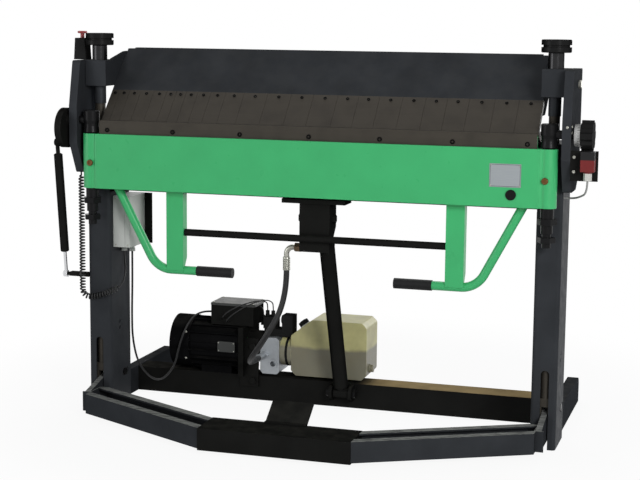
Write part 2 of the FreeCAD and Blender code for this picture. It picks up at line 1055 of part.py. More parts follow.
def socket_screw(label, x, y, z, radius, head, turn):
    # A low round head with a hexagon socket, standing on the surface at the given point.
    item = turned(label + "_head", [("0", "0"), (radius, "0"), (radius, f"0.7 * {head}"),
                                    (f"0.85 * {radius}", head), ("0", head)],
                  (x, y, z), turn=turn)
    socket = doc.addObject("Part::Prism", label + "_socket")
    socket.Polygon = 6
    bind(socket, Circumradius=f"0.5 * {radius}", Height=f"2 * {head}")
    place(socket, x, y, z, turn)
    return item, socket


def segment_screws():
    heads = []
    sockets = []
    y, z = slope("blade_length - segment_screw_inset")
    passed = 0
    for index, share in enumerate(segment_shares):
        item, socket = socket_screw(f"segment_screw_{index}", blade_x(passed + share / 2), y, z,
                                    "segment_screw_radius", "segment_screw_head",
                                    (V(1, 0, 0), "face_angle"))
        passed += share
        heads.append(item)
        sockets.append(socket)
    return cut("segment_screws", group("segment_screw_heads", *heads),
               group("segment_screw_sockets", *sockets))


segment_screws()


# End blocks, tie spindles, knobs and the bar that lifts them

def end_block():
    y = behind("block_front")
    body = block("end_block_body", "block_inner", y, "block_bottom", "block_width",
                 "block_depth", "plate_top - block_bottom")
    spindle_y = behind("spindle_y")
    boss = bar("end_block_boss", "z", "spindle_x", spindle_y, "block_boss_bottom",
               "block_boss_radius", "block_bottom - block_boss_bottom")
    stem = bar("end_block_stem", "z", "spindle_x", spindle_y, "plate_top", "stem_radius",
               "stem_top - plate_top")
    lower_bore = bar("end_block_lower_bore", "z", "spindle_x", spindle_y,
                     "block_boss_bottom - 1", "spindle_radius",
                     "block_bottom - block_boss_bottom + 1")
    upper_bore = bar("end_block_upper_bore", "z", "spindle_x", spindle_y, "block_bottom - 1",
                     "spindle_shaft", "stem_top - block_bottom + 2")
    return cut("end_block_right", fuse("end_block_blank", body, boss, stem), lower_bore,
               upper_bore)


both_sides("end_blocks", end_block())


def tie_spindle():
    y = behind("spindle_y")
    rod = bar("tie_rod", "z", "spindle_x", y, "fork_top", "spindle_radius",
              "block_bottom - fork_top")
    shaft = bar("tie_shaft", "z", "spindle_x", y, "block_bottom", "spindle_shaft",
                "spindle_shaft_top - block_bottom")
    fork = block("tie_fork_blank", "spindle_x - fork_width / 2", f"{y} - fork_depth / 2",
                 "fork_bottom", "fork_width", "fork_depth", "fork_top - fork_bottom")
    gap = block("tie_fork_gap", "spindle_x - fork_gap / 2", f"{y} - fork_depth",
                "fork_bottom - 1", "fork_gap", "2 * fork_depth", "fork_crotch - fork_bottom + 1")
    pin = bar("tie_fork_pin", "x", "spindle_x - fork_width / 2", y, "fork_pin_z",
              "fork_pin_radius", "fork_width")
    return fuse("tie_spindle_right", rod, shaft, cut("tie_fork", fork, gap), pin)


both_sides("tie_spindles", tie_spindle())


def top_knob():
    bottom = "stem_top + 2 * body_gap"
    height = "knob_thick"
    radius = "knob_radius"
    low = f"({height} - knob_groove_width) / 2"
    high = f"({height} + knob_groove_width) / 2"
    bore = "spindle_shaft + running_gap"
    bore_top = f"spindle_shaft_top - ({bottom}) + 2 * body_gap"
    outline = [(bore, "0"), (f"{radius} - knob_edge", "0"), (radius, "knob_edge"), (radius, low),
               (f"{radius} - knob_groove", low), (f"{radius} - knob_groove", high),
               (radius, high), (radius, f"{height} - knob_edge"),
               (f"{radius} - knob_edge", height),
               ("0", height), ("0", bore_top), (bore, bore_top)]
    return turned("top_knob_right", outline, ("spindle_x", behind("spindle_y"), bottom))


top_knob_right = top_knob()
mirrored("top_knob_left", top_knob_right)


def lift_bar():
    y = behind("spindle_y")
    whole = block("lift_bar_blank", "0 - lift_end", f"{y} - lift_depth / 2", "lift_bottom",
                  "2 * lift_end", "lift_depth", "lift_height")
    hole = bar("lift_hole_right", "z", "spindle_x", y, "lift_bottom - 1", "spindle_radius",
               "lift_height + 2")
    return cut("lift_bar", whole, hole, mirrored("lift_hole_left", hole))


lift_bar()


def lift_bracket():
    top = "lift_bottom - tee_thick"
    tee = block("lift_tee", "0 - tee_width / 2", behind("spindle_y - tee_depth / 2"), top,
                "tee_width", "tee_depth", "tee_thick")
    front = block("lift_front", "0 - head_width / 2", behind("head_front"), "head_bottom",
                  "head_width", "head_thick", f"{top} - head_bottom")
    near = behind("head_front + head_thick")
    far = behind("head_front + head_depth")
    cheeks = []
    for side, x in (("left", "0 - head_width / 2"), ("right", "head_width / 2 - ear_thick")):
        outline = [(near, "head_bottom"), (near, top), (far, top), (far, "ear_rear_bottom")]
        cheeks.append(prism("lift_cheek_" + side, "YZ_Plane", [outline], "ear_thick",
                            (x, "0", "0")))
    y = behind("lift_pin_y")
    spacer_end = "clevis_x - rod_eye_width / 2 - 2 * body_gap"
    spacer = bar("lift_spacer", "x", "ear_thick - head_width / 2", y, "lift_pin_z",
                 "lift_spacer_radius", f"{spacer_end} - ear_thick + head_width / 2")
    hole = bar("lift_pin_hole", "x", "0 - head_width", y, "lift_pin_z", "lift_pin_radius",
               "2 * head_width")
    return cut("lift_bracket_drilled", fuse("lift_bracket_blank", tee, front, *cheeks, spacer), hole)


lift_bracket_drilled = lift_bracket()
lift_pin = pin_with_ends("lift_pin", behind("lift_pin_y"), "lift_pin_z", "0 - head_width / 2",
                         "head_width / 2", "lift_pin_radius", "pin_flats", "pin_head")
group("lift_bracket", lift_bracket_drilled, lift_pin)


# Hydraulic cylinder, drawn along its own axis from the clevis pin to the lifting bracket

tilt = "atan((clevis_y - lift_pin_y) / (lift_pin_z - clevis_z))"
reach = "sqrt((clevis_y - lift_pin_y)^2 + (lift_pin_z - clevis_z)^2)"
cylinder_at = ("clevis_x", behind("clevis_y"), "clevis_z")
lean = (V(1, 0, 0), tilt)


def cylinder_barrel():
    gland = "barrel_end + gland_length"
    inside = "barrel_radius - cylinder_wall"
    bore = "cylinder_rod_radius + running_gap"
    floor = "barrel_start + gland_length"
    outline = [("0", "barrel_start"), ("barrel_radius", "barrel_start"),
               ("barrel_radius", "barrel_end"), ("gland_radius", "barrel_end"),
               ("gland_radius", gland), (bore, gland), (bore, "barrel_end"),
               (inside, "barrel_end"), (inside, floor), ("0", floor)]
    tube = turned("barrel_tube", outline, cylinder_at, turn=lean)
    neck = turned("barrel_neck", [("0", "0"), ("barrel_neck_radius", "0"),
                                  ("barrel_neck_radius", "barrel_start"),
                                  ("0", "barrel_start")], cylinder_at, turn=lean)
    x, y, z = cylinder_at
    eye = bar("barrel_eye", "x", f"{x} - barrel_eye_width / 2", y, z, "eye_radius",
              "barrel_eye_width")
    hole = bar("barrel_eye_hole", "x", f"{x} - barrel_eye_width", y, z,
               "clevis_pin_radius + running_gap", "2 * barrel_eye_width")
    return cut("cylinder_barrel", fuse("barrel_blank", tube, neck, eye), hole)


cylinder_barrel()


def cylinder_rod():
    inside = "barrel_radius - cylinder_wall"
    start = "barrel_end - rod_depth"
    outline = [("0", start), (f"{inside} - running_gap", start),
               (f"{inside} - running_gap", f"{start} + piston_length"),
               ("cylinder_rod_radius", f"{start} + piston_length"),
               ("cylinder_rod_radius", f"{reach} - rod_end_gap"), ("0", f"{reach} - rod_end_gap")]
    rod = turned("rod_shaft", outline, cylinder_at, turn=lean)
    y = behind("lift_pin_y")
    eye = bar("rod_eye", "x", "clevis_x - rod_eye_width / 2", y, "lift_pin_z", "eye_radius",
              "rod_eye_width")
    hole = bar("rod_eye_hole", "x", "clevis_x - rod_eye_width", y, "lift_pin_z",
               "lift_pin_radius + lift_eye_gap", "2 * rod_eye_width")
    return cut("cylinder_rod", fuse("rod_blank", rod, eye), hole)


cylinder_rod()


def cylinder_fitting():
    # Nipple, union nut, elbow and ferrule on the left side of the barrel.
    y = f"{behind('clevis_y')} - port_rise * sin({tilt})"
    z = f"clevis_z + port_rise * cos({tilt})"
    start = "clevis_x - barrel_radius"
    nipple = bar("port_nipple", "x", f"clevis_x - port_nut_far", y, z, "port_radius",
                 "port_nut_far - barrel_radius + 2")
    nut = hexagon("port_nut", "x", "clevis_x - port_nut_far", y, z, "port_nut_flats",
                  "port_nut_far - port_nut_near")
    arm = bar("port_arm", "x", "clevis_x - elbow_reach", y, z, "port_radius",
              "elbow_reach - port_nut_far")
    corner = doc.addObject("Part::Sphere", "port_corner")
    bind(corner, Radius="port_radius")
    place(corner, "clevis_x - elbow_reach", y, z)
    drop = bar("port_drop", "z", "clevis_x - elbow_reach", y, f"{z} - ferrule_top",
               "port_radius", "ferrule_top")
    ferrule = bar("port_ferrule", "z", "clevis_x - elbow_reach", y,
                  f"{z} - ferrule_top - ferrule_length", "ferrule_radius", "ferrule_length")
    solid = fuse("cylinder_fitting_blank", nipple, nut, arm, corner, drop, ferrule)
    return cut("cylinder_fitting", solid, doc.getObject("cylinder_barrel"))


cylinder_fitting()


# Treadle: hollow pedal, two lipped channels with their levers, and the tread plate

def treadle_pedal():
    x = "0 - pedal_half"
    y = behind("0 - pedal_front")
    depth = "pedal_front - pedal_rear"
    outside = block("pedal_outside", x, y, "pedal_bottom", "2 * pedal_half", depth,
                    "treadle_top - pedal_bottom")
    inside = block("pedal_inside", f"{x} + arm_wall", f"{y} + arm_wall", "pedal_bottom - 1",
                   "2 * (pedal_half - arm_wall)", f"{depth} - 2 * arm_wall",
                   "treadle_top - pedal_bottom - arm_wall + 1")
    return cut("treadle_pedal", outside, inside)


treadle_pedal()


def treadle_arm():
    wall = "arm_wall"
    corner_x = "pedal_half + arm_width * sin(arm_angle)"
    corner_y = f"{behind('0 - arm_rear_y')} - arm_width * cos(arm_angle)"
    run = "(arm_outer_x - pedal_half) / cos(arm_angle) + 2 * arm_width"
    angle = (V(0, 0, 1), "arm_angle")

    def strip(label, inset, bottom, top):
        # The channel's direction starts one width before the pedal, so that the clip cuts it.
        back = "arm_width"
        x = f"{corner_x} - {back} * cos(arm_angle) - ({inset}) * sin(arm_angle)"
        y = f"{corner_y} - {back} * sin(arm_angle) + ({inset}) * cos(arm_angle)"
        item = doc.addObject("Part::Box", label)
        bind(item, Length=run, Width=f"arm_width - 2 * ({inset})", Height=f"{top} - ({bottom})")
        return place(item, x, y, bottom, angle)

    def clipped(label, source, inset):
        clip = block(label + "_clip", "pedal_half", behind("0 - pedal_front - arm_width"),
                     "0", f"arm_outer_x - pedal_half - ({inset})",
                     f"pedal_front + arm_width + arm_limit - ({inset})", "2 * treadle_top")
        both = doc.addObject("Part::Common", label)
        both.Base = source
        both.Tool = clip
        return both

    outer = clipped("arm_outer", strip("arm_outer_strip", "0", "treadle_bottom", "treadle_top"),
                    "0")
    inner = clipped("arm_inner", strip("arm_inner_strip", wall, f"treadle_bottom + {wall}",
                                       f"treadle_top - {wall}"), wall)
    mouth = clipped("arm_mouth", strip("arm_mouth_strip", "arm_lip", f"treadle_top - 2 * {wall}",
                                       "treadle_top + 1"), wall)
    channel = cut("arm_channel", outer, inner, mouth)
    x = "spindle_x - lever_thick / 2"
    front = behind("0 - lever_front")
    hub_y = behind("pivot_y")
    outline = [(front, "lever_bottom"), (f"{hub_y} - 2 * lever_hub", "lever_bottom"),
               (hub_y, "pivot_z - lever_hub"), (hub_y, "pivot_z + lever_hub"),
               (front, "treadle_top")]
    lever = prism("lever_plate", "YZ_Plane", [outline], "lever_thick", (x, "0", "0"))
    hub = bar("lever_hub_disc", "x", x, hub_y, "pivot_z", "lever_hub", "lever_thick")
    bore = bar("lever_bore", "x", f"{x} - 1", hub_y, "pivot_z", "pivot_radius + running_gap",
               "lever_thick + 2")
    pin_y = behind("spindle_y")
    slot_start = bar("lever_slot_start", "x", f"{x} - 1", pin_y, "fork_pin_z",
                     "lever_slot_radius", "lever_thick + 2")
    slot_end = bar("lever_slot_end", "x", f"{x} - 1",
                   f"{pin_y} + lever_slot_travel * cos(lever_slot_angle)",
                   "fork_pin_z + lever_slot_travel * sin(lever_slot_angle)",
                   "lever_slot_radius", "lever_thick + 2")
    slot_middle = doc.addObject("Part::Box", "lever_slot_middle")
    bind(slot_middle, Length="lever_thick + 2", Width="lever_slot_travel",
         Height="2 * lever_slot_radius")
    place(slot_middle, f"{x} - 1", f"{pin_y} + lever_slot_radius * sin(lever_slot_angle)",
          "fork_pin_z - lever_slot_radius * cos(lever_slot_angle)",
          (V(1, 0, 0), "lever_slot_angle"))
    front_plate = block("lever_front_plate", "arm_outer_x - arm_wall",
                        f"{front} - arm_wall", "treadle_bottom",
                        "lever_thick + 2 * arm_wall", wall, "treadle_top - treadle_bottom")
    solid = fuse("treadle_arm_blank", channel, lever, hub, front_plate)
    return cut("treadle_arm", solid, bore, slot_start, slot_end, slot_middle)


both_sides("treadle_arms", treadle_arm())


def tread_plate():
    item = doc.addObject("Part::Box", "tread_plate_board")
    bind(item, Length="tread_width", Width="tread_length", Height="tread_thick")
    place(item, "0 - tread_width / 2", behind("0 - pedal_rear"), "treadle_top",
          (V(1, 0, 0), "tread_angle"))
    foot = block("tread_plate_foot", "0 - tread_width / 2",
                 behind("0 - pedal_rear - 3 * tread_thick"), "treadle_top", "tread_width",
                 "3 * tread_thick", "tread_thick")
    return fuse("tread_plate", item, foot)


tread_plate()


# Swinging pivots of the folding beam

def pivot_head():
    y = AXIS_Y
    base = "lock_nut_bottom - lock_nut_height"
    low = f"head_low - ({base})"
    top = f"head_top - ({base})"
    waist = f"bend_height - waist_drop - ({base})"
    outline = [("0", "0"), ("spindle_thread", "0"), ("spindle_thread", low),
               ("head_radius - head_edge", low), ("head_radius", f"{low} + head_edge"),
               ("head_waist", waist), ("head_waist", f"{waist} + waist_length"),
               ("head_radius", f"{waist} + waist_length + waist_flare"),
               ("head_radius", f"{top} - head_dome"), ("head_radius - head_dome", top),
               ("0", top)]
    body = turned("pivot_body", outline, ("head_x", y, base))
    pin = bar("pivot_pin", "x", "head_x", y, AXIS_Z, "pivot_pin_radius", "pivot_pin_end - head_x")
    return fuse("pivot_head_right", body, pin)


pivot_head_right = pivot_head()
lock_nut_blank = hexagon("lock_nut_blank", "z", "head_x", AXIS_Y, "lock_nut_bottom",
                         "lock_nut_flat", "lock_nut_height")
lock_nut_bore = bar("lock_nut_bore", "z", "head_x", AXIS_Y, "lock_nut_bottom - 1",
                    "spindle_thread", "lock_nut_height + 2")
lock_nut = cut("lock_nut_right", lock_nut_blank, lock_nut_bore)
pin_tip = bar("pivot_pin_long", "x", "pivot_pin_end - 1", AXIS_Y, AXIS_Z, "pivot_pin_radius",
              "pivot_pin_tip - pivot_pin_end + 1")
group("pivot_heads", fuse("pivot_head_long", pivot_head_right, pin_tip),
      mirrored("pivot_head_left", pivot_head_right), lock_nut,
      mirrored("lock_nut_left", lock_nut))


def crank_disc():
    x = "0 - disc_outer"
    y = behind("disc_y")
    z = "bend_height - disc_drop"
    disc = bar("disc_plate", "x", x, y, z, "disc_radius", "disc_outer - disc_inner")
    stud = bar("disc_stud", "x", "0 - stud_end", AXIS_Y, "bend_height - stud_drop",
               "stud_radius", "stud_end - disc_outer")
    hub = bar("disc_hub", "x", "0 - disc_inner", AXIS_Y, AXIS_Z, "hub_radius",
              f"disc_inner - ({PLATE_OUTER}) - 2 * body_gap")
    bore = bar("disc_bore", "x", "0 - disc_outer - 1", AXIS_Y, AXIS_Z, "pivot_pin_radius",
               "disc_outer")
    return cut("crank_disc", fuse("disc_blank", disc, hub, stud), bore)


crank_disc()


def angle_dial():
    x = "dial_inner"
    width = "dial_outer - dial_inner"
    ring = bar("dial_ring", "x", x, AXIS_Y, AXIS_Z, "dial_radius", width)
    bore = bar("dial_bore", "x", f"{x} - 1", AXIS_Y, AXIS_Z, "pivot_pin_radius",
               f"{width} + stop_outer")
    marks = []
    count = int(number("dial_marks"))
    for index in range(count):
        mark = doc.addObject("Part::Box", f"dial_mark_{index}")
        bind(mark, Length=f"0.5 * ({width})", Width="mark_width", Height="mark_depth")
        angle = 360 / count * index
        turn = FreeCAD.Rotation(V(1, 0, 0), angle)
        mark.Placement = FreeCAD.Placement(V(0, 0, 0), turn)
        bind(mark, **{".Placement.Base.x": f"{x} + 0.5 * ({width})",
                      ".Placement.Base.y": f"{AXIS_Y} - (dial_radius - mark_depth) * sin({angle})",
                      ".Placement.Base.z": f"{AXIS_Z} + (dial_radius - mark_depth) * cos({angle})"})
        marks.append(mark)
    return cut("angle_dial", ring, bore, *marks)


angle_dial()


def stop_knob():
    x = "stop_inner"
    width = "stop_outer - stop_inner"
    body = bar("stop_body", "x", x, AXIS_Y, AXIS_Z, "stop_radius", width)
    bore = bar("stop_bore", "x", f"{x} - 1", AXIS_Y, AXIS_Z, "pivot_pin_radius + running_gap",
               "pivot_pin_tip - stop_inner + 2")
    flutes = []
    count = int(number("stop_flutes"))
    centre = "(stop_radius + flute_radius - flute_depth)"
    for index in range(count):
        angle = 360 / count * (index + 0.5)
        flutes.append(bar(f"stop_flute_{index}", "x", f"{x} - 1",
                          f"{AXIS_Y} - {centre} * sin({angle})",
                          f"{AXIS_Z} + {centre} * cos({angle})",
                          "flute_radius", f"{width} + 2"))
    return cut("stop_knob", body, bore, *flutes)


stop_knob()


# Folding beam and everything that hangs on it

def folding_beam():
    front = behind("0 - beam_front")
    rear = behind("beam_depth - beam_front")
    wall = "beam_wall"
    low = "beam_bottom"
    top = "beam_top"
    outline = [(front, low), (rear, low), (rear, f"{low} + {wall}"),
               (f"{front} + {wall}", f"{low} + {wall}"), (f"{front} + {wall}", f"{top} - {wall}"),
               (rear, f"{top} - {wall}"), (rear, top), (front, top)]
    half = "head_x - tube_radius + beam_lap"
    channel = prism("beam_channel", "YZ_Plane", [outline], f"2 * ({half})",
                    (f"0 - ({half})", "0", "0"))
    carrier = block("beam_carrier", "0 - rail_length / 2", behind("rail_thick - rail_front"), top,
                    "rail_length", "rail_front - rail_thick - carrier_rear",
                    f"carrier_top - {top}")
    tube = bar("beam_tube_right", "z", "head_x", AXIS_Y, low, "tube_radius", f"{top} - {low}")
    bore = bar("beam_bore_right", "z", "head_x", AXIS_Y, f"{low} - 1",
               "spindle_thread + running_gap", f"{top} - {low} + 2")
    bolt = doc.getObject("beam_bolts")
    solid = fuse("beam_blank", channel, carrier, tube, mirrored("beam_tube_left", tube))
    return cut("folding_beam", solid, bore, mirrored("beam_bore_left", bore), bolt)


beam_bolt = bar("beam_bolt", "y", "head_x - bolt_inset", behind("0 - beam_front - bolt_proud"),
                "bend_height - bolt_drop", "bolt_head", "2 * bolt_proud")
both_sides("beam_bolts", beam_bolt)
folding_beam()

rail_outline = rectangle(behind("0 - rail_front"), "bend_height - rail_height", "rail_thick",
                         "rail_height")
prism("folding_rail", "YZ_Plane", [rail_outline], "rail_length", ("0 - rail_length / 2", "0", "0"))


def rail_screws():
    heads = []
    sockets = []
    count = int(number("rail_screw_count"))
    for index in range(count):
        x = f"{index - (count - 1) / 2} * rail_screw_pitch"
        item, socket = socket_screw(f"rail_screw_{index}", x, behind("0 - rail_front"),
                                    "bend_height - rail_screw_drop", "rail_screw_radius",
                                    "rail_screw_head", (V(1, 0, 0), "90"))
        heads.append(item)
        sockets.append(socket)
    return cut("rail_screws", group("rail_screw_heads", *heads),
               group("rail_screw_sockets", *sockets))


rail_screws()

beam_face = behind("0 - beam_front")
block("rating_plate", "label_x - label_width / 2", f"{beam_face} - label_thick",
      "label_z - label_height / 2", "label_width", "label_thick", "label_height")
bar("beam_plug", "y", "plug_x", f"{beam_face} - plug_proud", "plug_z", "plug_radius",
    "plug_proud")


# Tubes along a path of straight runs and tangent arcs

def path_wire(points, radii):
    corners = [V(*[number(text) for text in point]) for point in points]
    edges = []
    start = corners[0]
    for index in range(1, len(corners) - 1):
        corner = corners[index]
        before = (corners[index - 1] - corner).normalize()
        after = (corners[index + 1] - corner).normalize()
        half = before.getAngle(after) / 2
        tangent = radii[index - 1] / math.tan(half)
        first = corner + before * tangent
        last = corner + after * tangent
        centre = corner + (before + after).normalize() * (radii[index - 1] / math.sin(half))
        middle = centre + (corner - centre).normalize() * radii[index - 1]
        edges.append(Part.makeLine(start, first))
        edges.append(Part.Arc(first, middle, last).toShape())
        start = last
    edges.append(Part.makeLine(start, corners[-1]))
    return Part.Wire(edges)


def easy_radii(points):
    # The widest arcs that leave a short straight piece between every two turns.
    corners = [V(*[number(text) for text in point]) for point in points]
    radii = []
    for index in range(1, len(corners) - 1):
        before = corners[index - 1] - corners[index]
        after = corners[index + 1] - corners[index]
        half_turn = (math.pi - before.getAngle(after)) / 2
        radii.append(0.45 * min(before.Length, after.Length) / math.tan(half_turn))
    return radii


def swept(wire, radius):
    # A round section along the wire.
    start = wire.Edges[0]
    at = start.valueAt(start.FirstParameter)
    direction = start.tangentAt(start.FirstParameter)
    ring = Part.Wire([Part.makeCircle(radius, at, direction)])
    return wire.makePipeShell([ring], True, False)


def tube(label, points, radius, radii=None):
    wire = path_wire(points, radii or easy_radii(points))
    item = doc.addObject("Part::Feature", label)
    item.Shape = swept(wire, number(radius))
    print(label, "arc radii", [round(value, 1) for value in radii or easy_radii(points)],
          "volume ratio", round(item.Shape.Volume / (math.pi * number(radius) ** 2 * wire.Length), 4))
    return item


# Handles: bent tubes, flat hangers, grips and the rod between the hangers

def handle():
    y = behind("handle_y")
    lean_x = "(handle_top_x - handle_bend_x) / (beam_bottom - handle_low_z)"
    points = [(f"handle_top_x + 2 * handle_radius * {lean_x}", y,
               "beam_bottom + 2 * handle_radius"), ("handle_bend_x", y, "handle_low_z"),
              ("grip_inner + handle_radius", y, "handle_low_z")]
    pipe = tube("handle_pipe", points, "handle_radius", [number("handle_bend_radius")])
    depth = "bar_depth"
    front = f"{y} - {depth} / 2"
    outline = [(front, "handle_low_z"), (f"{front} + {depth} - bar_cut", "handle_low_z"),
               (f"{front} + {depth}", "handle_low_z + bar_cut_height"),
               (f"{front} + {depth}", "beam_bottom"), (front, "beam_bottom")]
    hanger = prism("handle_hanger", "YZ_Plane", [outline], "bar_width", ("bar_inner", "0", "0"))
    whole = fuse("handle_blank", pipe, hanger)
    over = block("handle_over", "handle_bend_x", f"{y} - bar_depth", "beam_bottom",
                 "handle_top_x", "2 * bar_depth", "2 * bar_depth")
    return cut("handle_right", whole, over)


handle_right = handle()
cross_rod = bar("cross_rod", "x", "0 - bar_inner", behind("handle_y"), "cross_rod_z",
                "cross_rod_radius", "2 * bar_inner")
both_sides("handles", handle_right)


def handle_grip():
    y = behind("handle_y")
    sleeve = bar("grip_sleeve", "x", "grip_inner", y, "handle_low_z", "grip_radius",
                 "grip_outer - grip_inner")
    hollow = bar("grip_hollow", "x", "grip_inner + handle_radius", y, "handle_low_z",
                 "handle_radius", "grip_outer - grip_inner")
    return cut("grip_right", sleeve, hollow)


both_sides("handle_grips", handle_grip())


def adjuster():
    y = AXIS_Y
    base = "sleeve_bottom"
    bore = "spindle_thread + running_gap"
    collar_low = f"collar_bottom - {base}"
    collar_top = f"collar_top - {base}"
    hex_low = f"hex_bottom - {base}"
    collar = turned("adjuster_collar", [(bore, "0"), ("sleeve_radius", "0"),
                                        ("sleeve_radius", hex_low), ("sleeve_radius", collar_low),
                                        ("collar_radius", collar_low),
                                        ("collar_radius", collar_top), (bore, collar_top)],
                    ("head_x", y, base))
    nut = hexagon("adjuster_hex", "z", "head_x", y, "hex_bottom", "hex_flat",
                  "collar_bottom - hex_bottom")
    hole = bar("adjuster_hole", "z", "head_x", y, "hex_bottom - 1", bore,
               "collar_bottom - hex_bottom + 2")
    return fuse("adjuster_right", collar, cut("adjuster_nut", nut, hole))


adjuster_right = adjuster()
mirrored("adjuster_left", adjuster_right)


# Gas spring outside the left end plate

spring_tilt = "atan(spring_eye_y / (bend_height - stud_drop - spring_eye_z))"
spring_reach = "sqrt(spring_eye_y^2 + (bend_height - stud_drop - spring_eye_z)^2)"
spring_at = ("0 - spring_x", behind("spring_eye_y"), "spring_eye_z")
spring_lean = (V(1, 0, 0), spring_tilt)


def spring_arm():
    z = "spring_eye_z - spring_bar_height / 2"
    arm = block("spring_arm", "0 - spring_bar_end", behind("spring_eye_y - spring_bar_front"), z,
                f"spring_bar_end - ({COLUMN_OUTER})", "spring_bar_depth", "spring_bar_height")
    pin = bar("spring_pin", "x", "0 - spring_x - spring_eye_width / 2 - spring_pin_proud",
              behind("spring_eye_y"), "spring_eye_z", "spring_pin_radius",
              "spring_x + spring_eye_width / 2 + spring_pin_proud - spring_bar_end"
              " + spring_pin_root")
    return fuse("spring_holder", arm, pin)


spring_holder = spring_arm()


def spring_rod():
    top = "spring_tube_end - spring_cap - 2 * spring_piston"
    piston = "spring_tube_radius - spring_wall - running_gap"
    shaft = turned("spring_shaft", [("0", "0"), ("spring_rod_radius", "0"),
                                    ("spring_rod_radius", top),
                                    (piston, top), (piston, f"{top} + spring_piston"),
                                    ("0", f"{top} + spring_piston")], spring_at,
                   turn=spring_lean)
    x, y, z = spring_at
    eye = bar("spring_rod_eye", "x", f"{x} - spring_eye_width / 2", y, z, "spring_eye_radius",
              "spring_eye_width")
    hole = bar("spring_rod_hole", "x", f"{x} - spring_eye_width", y, z,
               "spring_pin_radius + running_gap", "2 * spring_eye_width")
    return cut("spring_rod", fuse("spring_rod_blank", shaft, eye), hole)


spring_rod()


def spring_tube():
    start = "spring_tube_start"
    end = "spring_tube_end"
    outer = "spring_tube_radius"
    bore = "spring_rod_radius + running_gap"
    inner = f"{outer} - spring_wall"
    outline = [(bore, start), (inner, start), (outer, f"{start} + spring_wall"), (outer, end),
               ("spring_neck_radius", f"{end} + spring_cap"),
               ("spring_neck_radius", spring_reach), ("0", spring_reach),
               ("0", f"{end} - spring_cap"), (inner, f"{end} - spring_cap"),
               (inner, f"{start} + spring_gland"), (bore, f"{start} + spring_gland")]
    body = turned("spring_body", outline, spring_at, turn=spring_lean)
    eye = bar("spring_tube_eye", "x", "0 - spring_x - spring_eye_width / 2", AXIS_Y,
              "bend_height - stud_drop", "spring_eye_radius", "spring_eye_width")
    return fuse("spring_tube", body, eye)


spring_tube()


# Emergency stop on the left end plate

def estop_housing():
    x = "estop_x"
    z = "plate_top"
    outline = [(f"0 - {x} - estop_half", z), (f"estop_half - {x}", z),
               (f"estop_top_half - {x}", "estop_top"), (f"0 - {x} - estop_top_half", "estop_top")]
    shell = prism("estop_shell", "XZ_Plane", [outline], "2 * estop_half",
                  ("0", behind("estop_y + estop_half"), "0"))
    hole = bar("estop_hole", "z", f"0 - {x}", behind("estop_y"), "estop_top - 4 * button_gap",
               "button_stem + running_gap", "6 * button_gap")
    return cut("estop_housing", shell, hole)


estop_housing()


def estop_button():
    low = "estop_top - 2 * button_gap"
    cap = f"button_top - button_cap - ({low})"
    top = f"button_top - ({low})"
    outline = [("0", "0"), ("button_stem", "0"), ("button_stem", cap), ("button_neck", cap),
               ("button_radius", f"{cap} + button_skirt"),
               ("button_radius", f"{top} - button_edge"),
               ("button_radius - button_edge", top), ("0", top)]
    return turned("estop_button", outline, ("0 - estop_x", behind("estop_y"), low))


estop_button()


# Limit switch on its bracket, outside the right end plate

bracket_y = behind("0 - bracket_front")
switch_plate = block("switch_plate", PLATE_OUTER, bracket_y, "bracket_bottom",
                     f"bracket_end - ({PLATE_OUTER})", "bracket_thick",
                     "bracket_top - bracket_bottom")


def limit_switch():
    y = f"{bracket_y} - switch_depth"
    body = block("switch_body", "switch_inner", y, "switch_bottom", "switch_width",
                 "switch_depth", "switch_height")
    middle_x = "switch_inner + switch_width / 2"
    middle_y = f"{bracket_y} - switch_depth / 2"
    gland = hexagon("switch_gland", "z", middle_x, middle_y, "switch_bottom - gland_tall",
                    "gland_flats", "gland_tall")
    return fuse("limit_switch", body, gland)


limit_switch()


# Electric box on the inner side of the left column

def electric_box():
    x = "0 - column_inner"
    y = behind("box_near")
    body = block("box_body", x, y, "box_bottom", "box_width - box_lid", "box_depth", "box_height")
    seam = block("box_seam_strip", f"{x} + box_width - box_lid", f"{y} + box_seam",
                 "box_bottom + box_seam", "box_seam", "box_depth - 2 * box_seam",
                 "box_height - 2 * box_seam")
    lid = block("box_cover", f"{x} + box_width - box_lid + box_seam", y, "box_bottom",
                "box_lid - box_seam", "box_depth", "box_height")
    return fuse("electric_box", body, seam, lid)


electric_box()
box_gland_y = behind("gland_y")


def box_gland(label, x):
    nut = hexagon(label + "_nut", "z", x, box_gland_y, "box_bottom - box_gland_drop",
                  "box_gland_flats", "box_gland_drop / 2")
    stem = bar(label + "_stem", "z", x, box_gland_y, "box_bottom - box_gland_drop / 2",
               "box_gland_stem", "box_gland_drop / 2")
    return fuse(label, nut, stem)


group("cable_glands", box_gland("gland_left", "0 - gland_left_x"),
      box_gland("gland_right", "0 - gland_right_x"))
box_plate = block("box_plate", "0 - column_inner", behind("box_near + box_depth"), "box_bottom",
                  "box_plate_width", "box_plate_thick", "box_height")


# Power unit behind the columns: motor, pump, valve and oil tank on the rear cross beam

motor_end = "motor_x + motor_length"
MOTOR_Y = "motor_y - bend_reach"


